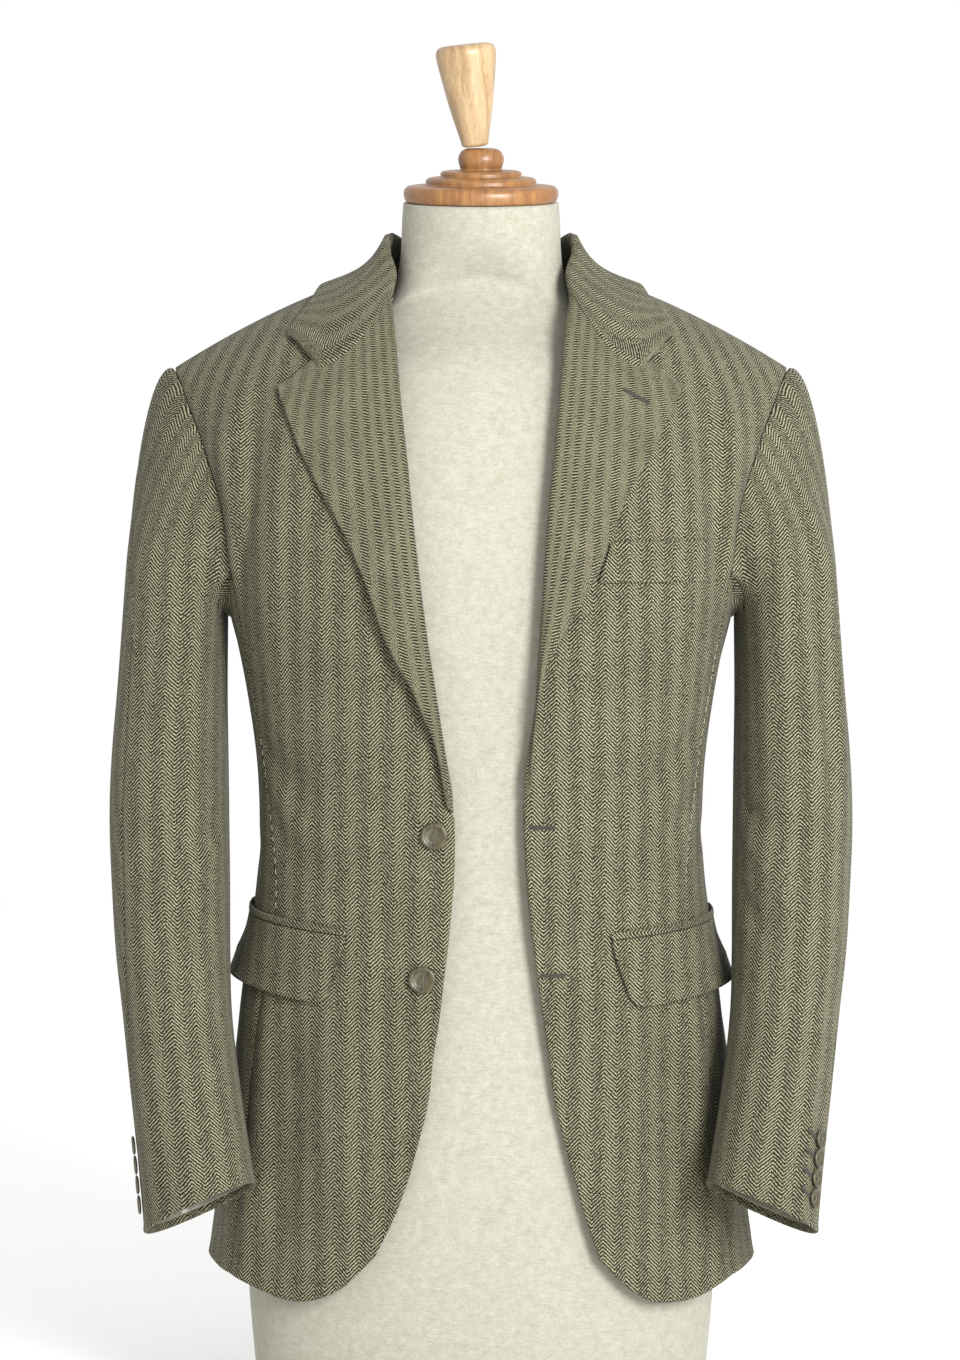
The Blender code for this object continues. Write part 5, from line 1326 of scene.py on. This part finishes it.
def cuff_lining(word, side):
    """Band of the sleeve's lining that shows inside the cuff."""
    angle, level = np.meshgrid(np.arange(0, 360, 360 / LINING_COLUMNS), LINING_LEVELS)
    normal = outward(sleeve, angle, level)
    mirror = np.array([side, 1, 1])
    pleat = PLEAT * np.sin(np.radians(angle) * PLEATS) * np.sin(level * 9)
    outer = (sleeve(angle, level) - normal * (CLOTH + ON_PANEL + pleat)[..., None]) * mirror
    across = np.linalg.norm(np.roll(outer, -1, axis=1) - outer, axis=-1)
    up = np.linalg.norm(outer[-1] - outer[0], axis=-1).mean() * (level - level[0]) / np.ptp(level)
    cloth = np.stack([np.cumsum(across, axis=1), -up], axis=-1)
    piece, full = cloth_wall(f"cuff_lining_{word}_satin", outer, normal * mirror, cloth, thick=LINING,
                             finish=(MATERIALS["satin"], "satin_lining"), tube=True)
    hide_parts(f"cuff_lining_{word}")
    declare(piece, full)


# ---------------------------------------------------------------- lapels and collar
TURNED_WEAVE = 1.25         # the lapels' and the collar's weave is this much finer than the body's
LAPEL_FOLDS = [
    (0.045, 0.080, 0.060, 0.200, 0.016, 0.0010),
    (0.052, 0.250, 0.070, 0.340, 0.020, -0.0009),
]


def arc(grid, axis):
    """Distance along a grid's rows or columns from its first."""
    step = np.linalg.norm(np.diff(grid, axis=axis), axis=-1)
    return np.pad(np.cumsum(step, axis=axis), ((1, 0), (0, 0)) if axis == 0 else ((0, 0), (1, 0)))


def lapel(word, side):
    """Lapel: from the front's edge round the roll and out, its grain running along the roll."""
    outer, inner = lapel_skins(side)
    normal = unit(outer - inner)
    across = arc(outer, 1)
    along = np.broadcast_to(arc(outer, 0)[:, len(ROLL_TURN):len(ROLL_TURN) + 1], across.shape)
    cloth = np.stack([across, along], axis=-1)
    rise = fold_height(cloth, LAPEL_FOLDS)
    piece, full = cloth_wall(f"lapel_{word}_cloth", outer, normal, cloth, free={"right": 1.0, "bottom": 1.0},
                             sewn=("left", "top"), rise=rise, weave=TURNED_WEAVE)
    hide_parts(f"lapel_{word}")
    declare(piece, full)


def finer_stand(grid):
    """Collar's section with more points round its stand and fold."""
    fall = STAND_POINTS - 1 + np.arange(1, COLLAR_FALL + 1) / FINER
    keys = np.concatenate([np.arange(STAND_POINTS), fall])
    steps = np.linspace(0, STAND_POINTS - 2, len(ROLL_TURN))
    at = np.concatenate([steps, [STAND_POINTS - 1], fall])
    return np.array([smooth(np.column_stack([keys, row]), at) for row in grid])


def collar():
    """Collar: its stand rises from the neck seam, folds over and falls onto the shoulders."""
    halves = [finer_stand(collar_half(side)) for side in (-1, 1)]
    middle = np.concatenate([halves[0], halves[1][-2::-1]])
    normal = grid_normals(middle)
    outer = middle - normal * CLOTH / 2
    inner = middle + normal * CLOTH / 2
    sewn = middle.shape[1] - NOTCH_COLUMNS
    for end, side in ((0, -1), (-1, 1)):
        rows = np.arange(COLLAR_MEET_ROWS) if end == 0 else -1 - np.arange(COLLAR_MEET_ROWS)
        fade = np.linspace(1, 0, COLLAR_MEET_ROWS)[:, None, None] ** 2
        for skin, other in zip((outer, inner), lapel_skins(side)):
            pull = np.zeros_like(skin[end])
            pull[:sewn] = other[-1, :sewn] - skin[end, :sewn]
            pull[sewn:] = pull[sewn - 1] * np.linspace(1, 0, NOTCH_COLUMNS)[:, None]
            skin[rows] += fade * pull
    thick = unit(outer - inner)
    across = arc(middle, 1)
    along = np.broadcast_to(arc(middle, 0)[:, len(ROLL_TURN):len(ROLL_TURN) + 1], across.shape)
    cloth = np.stack([along, across], axis=-1)
    piece, full = cloth_wall("collar_cloth", outer, thick, cloth, sewn=("left", "bottom", "top"),
                             weave=TURNED_WEAVE)
    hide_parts("collar")
    declare(piece, full)


# ---------------------------------------------------------------- pockets
FLAP_BOW = 0.0007           # how far a flap bows out between its corners


def laid(side, angle, height, lift):
    """Outside, normals and cloth coordinates of a piece that lies on the body."""
    level = level_at(angle, height)
    return on_body(angle * side, level, lift), outward(body, angle * side, level), body_cloth(angle, level)


def flap(word, side):
    """Hip pocket flap: flat at its seam, flaring away from the body at its foot."""
    seam_angle, seam_height, foot_angle, depth, flare = flap_places(side)
    down = np.linspace(1, 0, FLAP_ROWS + 1)[:, None]
    angle = seam_angle + (foot_angle - seam_angle) * down
    height = seam_height - depth * down
    top = ON_PANEL + CLOTH
    lift = top + (flare - top) * down**1.5
    outer, normal, cloth = laid(side, angle, height, lift)
    bow = FLAP_BOW * np.sin(np.linspace(0, 3 * math.pi, angle.shape[1]))[None] * down**2
    piece, full = cloth_wall(f"flap_{word}_cloth", outer, normal, cloth, rise=bow,
                             free={"left": 1.0, "right": 1.0, "bottom": 1.0})
    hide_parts(f"flap_{word}")
    declare(piece, full)


def jet(word, side):
    """Narrow jet that lies above the flap's seam, its grain turned a quarter."""
    seam_angle, seam_height = flap_places(side)[:2]
    rise = np.linspace(2 * SEAM, JET_HEIGHT, JET_ROWS)[:, None]
    height = seam_height + rise
    angle = np.broadcast_to(seam_angle, height.shape)
    outer, normal, cloth = laid(side, angle, height, np.full(height.shape, JET_LIFT))
    piece, full = cloth_wall(f"jet_{word}_cloth", outer, normal, cloth[..., ::-1].copy())
    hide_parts(f"jet_{word}")
    declare(piece, full)


def breast_welt():
    """Slanting welt of the breast pocket, its inner end under the lapel."""
    foot_in, foot_out, top_out, top_in = np.array(WELT)
    foot = np.linspace(foot_in, foot_out, WELT_COLUMNS + 1)
    top = np.linspace(top_in, top_out, WELT_COLUMNS + 1)
    place = np.linspace(foot, top, WELT_ROWS)
    angle, level = locate(place[..., 0], place[..., 1])
    outer = on_body(angle, level, np.full(angle.shape, ON_PANEL + CLOTH))
    piece, full = cloth_wall("breast_welt_cloth", outer, outward(body, angle, level),
                             body_cloth(angle, level), free={"top": 1.0})
    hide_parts("breast_welt")
    declare(piece, full)


# ---------------------------------------------------------------- turned pieces
def rounded(profile, times=2):
    """Half section with its corners cut and cut again, which rounds them."""
    points = np.array(profile, dtype=float)
    for _ in range(times):
        first, last = points[:1], points[-1:]
        quarter = points[:-1] * 0.78 + points[1:] * 0.22
        three = points[:-1] * 0.22 + points[1:] * 0.78
        points = np.concatenate([first, np.stack([quarter, three], axis=1).reshape(-1, 2), last])
    return points


def spun(profile, sides):
    """Rings of points: a half section turned round its axis."""
    around = np.radians(np.arange(0, 360, 360 / sides))
    ring = np.stack([np.cos(around), np.sin(around)], axis=-1)
    heights = np.broadcast_to(profile[:, None, 1:], (len(profile), sides, 1))
    return np.concatenate([profile[:, None, :1] * ring[None], heights], axis=-1)


def turned(name, profile, finish, place, turn):
    """Solid of revolution from a half section, from the top's middle to the foot's."""
    return solid_rings(name, spun(rounded(profile)[1:-1], TURNED_SIDES), finish, place, turn)


def set_down(piece, place, turn):
    """Moves a finished piece to its place, and turns it there."""
    piece.location += Vector(place)
    if turn is not None:
        piece.rotation_mode = "QUATERNION"
        piece.rotation_quaternion = turn
    return piece


def solid_rings(name, points, finish, place=(0.0, 0.0, 0.0), turn=None):
    """Closed solid through rings of points, with a middle point at each end."""
    rows, columns = points.shape[:2]
    faces = grid_faces(rows, columns, 0, False, True).tolist()
    ends = points[[0, -1]].mean(axis=1)
    flat = np.concatenate([points.reshape(-1, 3), ends])
    for row, middle in ((0, rows * columns), (rows - 1, rows * columns + 1)):
        faces += [(row * columns + j, row * columns + (j + 1) % columns, middle) for j in range(columns)]
    return set_down(finish_mesh(name, flat, faces, None, finish), place, turn)


def thread(name, lines, radius, finish, sides=6, place=(0.0, 0.0, 0.0), turn=None):
    """Lengths of thread along lines of points, as one piece."""
    points, faces = [], []
    around = np.radians(np.arange(0, 360, 360 / sides))
    for line in lines:
        line = np.asarray(line, dtype=float)
        along = unit(np.gradient(line, axis=0))
        helper = np.where(np.abs(along[:, 2:]) > 0.9, (1.0, 0.0, 0.0), (0.0, 0.0, 1.0))
        one = unit(np.cross(along, helper))
        two = np.cross(along, one)
        taper = radius * np.sqrt(np.clip(1 - np.linspace(-1, 1, len(line)) ** 8, 0.15, 1))[:, None, None]
        rings = line[:, None] + taper * (np.cos(around)[None, :, None] * one[:, None]
                                         + np.sin(around)[None, :, None] * two[:, None])
        start = sum(len(part) for part in points)
        points.append(rings.reshape(-1, 3))
        faces += grid_faces(len(line), sides, start, False, True).tolist()
        last = start + (len(line) - 1) * sides
        faces.append(list(range(start, start + sides))[::-1])
        faces.append(list(range(last, last + sides)))
    return set_down(finish_mesh(name, np.concatenate(points), faces, None, finish), place, turn)


HOLE_CIRCLE = 0.27          # distance of a button's holes from its middle, as a share of its radius
HOLE = 0.105                # radius of a hole, in the same shares
HOLE_DEPTH = 0.16
HOLE_RIM = 0.018            # how softly its rim turns down
FACE_RINGS = 20             # rings of points on the face, in which the holes are sunk
THREAD = 0.00045            # radius of the buttons' thread, drawn about twice too thick
THREAD_RISE = 0.06          # shares of the radius: how far the thread stands up,
THREAD_SINK = 0.10          # how far it goes into the holes,
THREAD_OVER = 0.02          # and how far the upper crossing lies above the lower
FRONT_TWIST = 12            # degrees by which each button is turned from the one before
CUFF_TWIST = 7


def button(name, diameter, place, normal, twist):
    """Four-hole button: dished, with a raised rim, its holes sunk and sewn with crossing thread."""
    radius = diameter / 2
    profile = rounded(BUTTON_PROFILE)[1:-1]
    inner = np.linspace(0.02, profile[1, 0] * 0.9, FACE_RINGS)
    face = np.stack([inner, np.interp(inner, profile[:8, 0], profile[:8, 1])], axis=-1)
    profile = np.concatenate([face, profile[profile[:, 0] > inner[-1] + 0.02]])
    points = spun(profile, BUTTON_SIDES)
    for corner in range(4):
        direction = math.radians(45 + 90 * corner + twist)
        hole = HOLE_CIRCLE * math.sqrt(2) * np.array([math.cos(direction), math.sin(direction)])
        away = np.linalg.norm(points[..., :2] - hole, axis=-1)
        points[:FACE_RINGS, :, 2] -= (HOLE_DEPTH / (1 + np.exp((away - HOLE) / HOLE_RIM)))[:FACE_RINGS]
    turn = Vector(normal).to_track_quat("Z", "Y")
    centre = place + normal * BUTTON_SHANK
    piece = solid_rings(f"{name}_horn", points * radius, (MATERIALS["horn"], "horn"), centre, turn)
    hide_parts(name)
    lines = []
    for first in (45, 135):
        one = math.radians(first + twist)
        across = HOLE_CIRCLE * math.sqrt(2) * np.array([math.cos(one), math.sin(one)])
        share = np.linspace(-1, 1, 9)[:, None]
        lift = (BUTTON_PROFILE[0][1] + THREAD_RISE * (1 - share**6) - THREAD_SINK * share**6
                + THREAD_OVER * (first > 90))
        lines.append(np.hstack([share * across, lift]) * radius)
    thread(f"{name}_thread", lines, THREAD, (MATERIALS["button thread"], "herringbone_cloth"), place=centre,
           turn=turn)


def front_buttons():
    for number, (x, z) in enumerate(FRONT_BUTTONS, start=1):
        angle, level = locate(-x, z)
        button(f"front_button_{number}", FRONT_BUTTON, on_body(angle, level), outward(body, angle, level),
               FRONT_TWIST * number)


def cuff_places(side, count=4):
    """Places and normals of the cuff buttons' centres, from the lowest."""
    angle = CUFF_BUTTON_ANGLE[side]
    level_length = np.linalg.norm(sleeve(angle, CUFF_LEVEL) - sleeve(angle, CUFF_LEVEL - 1))
    mirror = np.array([side, 1, 1])
    for number in range(count):
        level = CUFF_LEVEL - (CUFF_BUTTON_FOOT + number * CUFF_BUTTON_PITCH) / level_length
        yield angle, level, sleeve(angle, level) * mirror, outward(sleeve, angle, level) * mirror


def cuff_buttons(word, side):
    for number, (_, _, place, normal) in enumerate(cuff_places(side), start=1):
        button(f"cuff_button_{word}_{number}", CUFF_BUTTON, place, normal, CUFF_TWIST * number)


# ---------------------------------------------------------------- stitches and buttonholes
STITCH_RADIUS = 0.00032     # sewing thread, drawn thicker than it is so that it shows
PICK_LENGTH = 0.0042        # a pick stitch, and from one to the next
PICK_PITCH = 0.0078
PICK_POINTS = 13            # points along a stitch and the gap after it
PICK_ASIDE = 1.2            # degrees in front of the seam
PICK_RADIUS = 0.00020
# heights between which they show, on the left and on the right
PICK_HEIGHTS = {-1: (0.303, 0.436), 1: (0.320, 0.505)}
LINE_STEPS = 60             # steps in which a line on the body is measured
HOLE_HALF = 0.0015          # half width of a buttonhole with its purl edge
FRONT_HOLES = ((0.0440, 0.3660), (0.0515, 0.2600))  # distance and height, on the right front
FRONT_HOLE = 0.0170
LAPEL_HOLE = ((0.1030, 0.6830), (0.1220, 0.6700))  # distance and height of the hole's ends
LAPEL_HOLE_LENGTH = 0.0200
CUFF_HOLE_AHEAD = 13.0      # degrees in front of its button
CUFF_HOLE = 0.0090
CUFF_HOLE_UP = 0.03         # ring levels above it
CUFF_HOLE_SLANT = 0.0035    # how far its front end lies higher


def body_line(angle, level, side, lift, count):
    """Even points along a line on the body, given by the angles and levels of its corners."""
    keys = np.linspace(0, 1, len(angle))
    fine = np.linspace(0, 1, LINE_STEPS)
    points = on_body(np.interp(fine, keys, angle) * side, np.interp(fine, keys, level),
                     np.full(LINE_STEPS, lift))
    along = np.concatenate([[0.0], np.cumsum(np.linalg.norm(np.diff(points, axis=0), axis=1))])
    at = np.linspace(0, along[-1], count)
    return np.stack([np.interp(at, along, points[:, i]) for i in range(3)], axis=-1), along[-1]


def pick_stitches(word, side):
    """Light running stitches beside the seam between a front and its side body."""
    seam = side_outline(side)[0]
    heights = body(seam[:, 0], seam[:, 1])[:, 2]
    part = seam[(heights > PICK_HEIGHTS[side][0]) & (heights < PICK_HEIGHTS[side][1])]
    angle, level = part[:, 0] - PICK_ASIDE, part[:, 1]
    length = body_line(angle, level, side, STITCH_RADIUS, 2)[1]
    stitches = int(length / PICK_PITCH)
    path = body_line(angle, level, side, 0.6 * STITCH_RADIUS, stitches * PICK_POINTS + 1)[0]
    reach = int(round(PICK_POINTS * PICK_LENGTH / PICK_PITCH))
    lines = [path[PICK_POINTS * i:PICK_POINTS * i + reach + 1] for i in range(stitches)]
    thread(f"pick_stitches_{word}", lines, PICK_RADIUS, (MATERIALS["pick thread"], "herringbone_cloth"),
           sides=5)


def buttonhole(name, centre, along, normal, length):
    """Cut buttonhole: a narrow slit of painted shade, a near-black thread, between two ridges of purl
    stitches.
    """
    along = unit(along - normal * np.dot(along, normal))
    across = np.cross(normal, along)
    half = length / 2
    lines = []
    count = int(length / (1.7 * STITCH_RADIUS))
    for row in (-1, 1):
        for i in range(count):
            at = -half + length * (i + 0.5) / count
            arch = np.linspace(0, math.pi, 5)
            out = row * (0.25 * HOLE_HALF + 0.75 * HOLE_HALF * (1 - np.cos(arch)) / 2)
            up = 0.7 * STITCH_RADIUS * np.sin(arch)
            lines.append(centre + at * along + out[:, None] * across + up[:, None] * normal)
    for end in (-1, 1):
        for step in (0.0, 1.2, 2.4):
            bar = np.linspace(-1, 1, 5)[:, None] * HOLE_HALF * across
            out = (end * (half + step * STITCH_RADIUS)) * along
            lines.append(centre + out + bar + 0.5 * STITCH_RADIUS * normal)
    thread(f"{name}_purl", lines, STITCH_RADIUS, (MATERIALS["hole thread"], "herringbone_cloth"), sides=5)
    # painted shade: a near-black thread lies in the cut, where the opening would be in shade
    slit = centre + np.linspace(-half, half, 9)[:, None] * along - 0.3 * STITCH_RADIUS * normal
    thread(f"{name}_slit", [slit], 1.3 * STITCH_RADIUS, (MATERIALS["slit"], "herringbone_cloth"), sides=6)


def front_buttonholes():
    for number, (x, z) in enumerate(FRONT_HOLES, start=1):
        angle, level = locate(x, z)
        normal = outward(body, angle, level)
        centre = on_body(angle, level, 0.0004)
        buttonhole(f"front_buttonhole_{number}", centre, np.array([1.0, 0.0, 0.0]), normal, FRONT_HOLE)


def lapel_buttonhole():
    outer, inner = lapel_skins(1)
    shown = outer[:, len(ROLL_TURN):]
    ends = []
    for x, z in LAPEL_HOLE:
        away = np.hypot(shown[..., 0] - x, shown[..., 2] - z)
        ends.append(np.unravel_index(np.argmin(away), away.shape))
    start, end = (shown[at] for at in ends)
    middle = tuple((np.array(ends[0]) + np.array(ends[1])) // 2)
    normal = unit(shown[middle] - inner[:, len(ROLL_TURN):][middle])
    buttonhole("lapel_buttonhole", (start + end) / 2 + 0.0006 * normal, end - start, normal,
               LAPEL_HOLE_LENGTH)


def cuff_buttonholes(word, side):
    """Short slanting buttonholes in front of the cuff buttons."""
    for number, (angle, level, place, _) in enumerate(cuff_places(side), start=1):
        ahead = (angle + CUFF_HOLE_AHEAD, level - CUFF_HOLE_UP)
        mirror = np.array([side, 1, 1])
        centre = sleeve(*ahead) * mirror
        out = outward(sleeve, *ahead) * mirror
        along = centre - place + np.array([0.0, 0.0, CUFF_HOLE_SLANT])
        buttonhole(f"cuff_buttonhole_{word}_{number}", centre + 0.0003 * out, along, out, CUFF_HOLE)


# ---------------------------------------------------------------- the dress form
def form_body():
    """Linen body of the form, from the base board up to the tilted top of its neck."""
    table = [(i, *ring) for i, ring in enumerate(FORM_RINGS)]
    levels = np.linspace(0, len(FORM_RINGS) - 1, FINER * (len(FORM_RINGS) - 1) + 1)
    angle, level = np.meshgrid(np.linspace(0, 360, FORM_COLUMNS, endpoint=False), levels)
    points = ring_point(table, angle, level)
    centre_y = smooth(table, levels)[:, 5][:, None]
    share = np.clip((points[..., 2] - NECK_TILT_FROM) / (FORM_RINGS[-2][0] - NECK_TILT_FROM), 0, 1)
    points[..., 2] += (points[..., 1] - centre_y) * math.tan(NECK_TILT) * share
    piece = solid_rings("form_body_linen", points, (MATERIALS["linen"], "linen"))
    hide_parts("form_body")


def cap_and_finial():
    """Turned cap on the neck, tilted with it, and the finial that leans on the cap."""
    neck = (0.0, FORM_RINGS[-1][5], FORM_RINGS[-1][0] + SEAM)
    for name, profile, lean in (("neck_cap", CAP_PROFILE, 0.0), ("finial", FINIAL_PROFILE, FINIAL_LEAN)):
        turn = Euler((NECK_TILT, lean, 0.0)).to_quaternion()
        piece = turned(f"{name}_beech", profile, (MATERIALS[f"beech {name}"], "beech"), neck, turn)
        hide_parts(name)


# ---------------------------------------------------------------- the blazer on its form
def build():
    for word, side in SIDES.items():
        body_pieces(word, side)
        sleeve_cloths(word, side)
        cuff_lining(word, side)
        lapel(word, side)
        flap(word, side)
        jet(word, side)
        cuff_buttons(word, side)
        pick_stitches(word, side)
        if side > 0:            # the left cuff's are turned away, and don't show
            cuff_buttonholes(word, side)
    collar()
    lapel_buttonhole()
    front_buttonholes()
    breast_welt()
    front_buttons()
    form_body()
    cap_and_finial()
    board = bpy.data.objects["base_board"]
    for slot in board.material_slots:
        slot.material = MATERIALS["beech neck_cap"]


build()


# ---------------------------------------------------------------- floor, light and camera
FLOOR = 6.0                 # half the width of the studio floor
PICTURE = (960, 1360)
PIXELS_PER_METRE = 1335.0
CAMERA_AWAY = 2.6
CAMERA_UP = 0.472           # above the hem level
PICTURE_SHIFT = -1          # pixels
ROOM = 1.0                  # brightness of the white room
SOFTBOXES = [
    # name, place, size, power
    ("key", (1.4, -2.9, 1.35), (0.9, 1.4), 190.0),
]
LIT_POINT = (0.0, 0.0, 0.55)  # what the lamps point at


def floor():
    data = bpy.data.meshes.new("floor")
    data.from_pydata([(-FLOOR, -FLOOR, 0), (FLOOR, -FLOOR, 0), (FLOOR, FLOOR, 0), (-FLOOR, FLOOR, 0)], [],
                     [(0, 1, 2, 3)])
    data.materials.append(seamless_paper())
    piece = bpy.data.objects.new("floor", data)
    bpy.context.scene.collection.objects.link(piece)


def softbox(name, place, target, size, power):
    lamp = bpy.data.lights.new(name, "AREA")
    lamp.shape = "RECTANGLE"
    lamp.size, lamp.size_y = size
    lamp.energy = power
    item = bpy.data.objects.new(name, lamp)
    item.location = place
    item.rotation_euler = (Vector(target) - Vector(place)).to_track_quat("-Z", "Y").to_euler()
    bpy.context.scene.collection.objects.link(item)


def studio():
    world = bpy.data.worlds.new("white room")
    bpy.context.scene.world = world
    world.use_nodes = True
    world.node_tree.nodes["Background"].inputs["Color"].default_value = (1.0, 1.0, 1.0, 1.0)
    world.node_tree.nodes["Background"].inputs["Strength"].default_value = ROOM
    for name, place, size, power in SOFTBOXES:
        softbox(name, place, LIT_POINT, size, power)
    bpy.context.scene.view_settings.view_transform = "Standard"
    camera = bpy.data.cameras.new("camera")
    camera.lens = camera.sensor_width * CAMERA_AWAY / (PICTURE[1] / PIXELS_PER_METRE)
    camera.shift_x = PICTURE_SHIFT / PICTURE[1]
    view = bpy.data.objects.new("camera", camera)
    view.location = (0.0, DEPTH_CENTRE - CAMERA_AWAY, HEM_HEIGHT + CAMERA_UP)
    view.rotation_euler = (math.pi / 2, 0.0, 0.0)
    bpy.context.scene.collection.objects.link(view)
    bpy.context.scene.camera = view


floor()
studio()
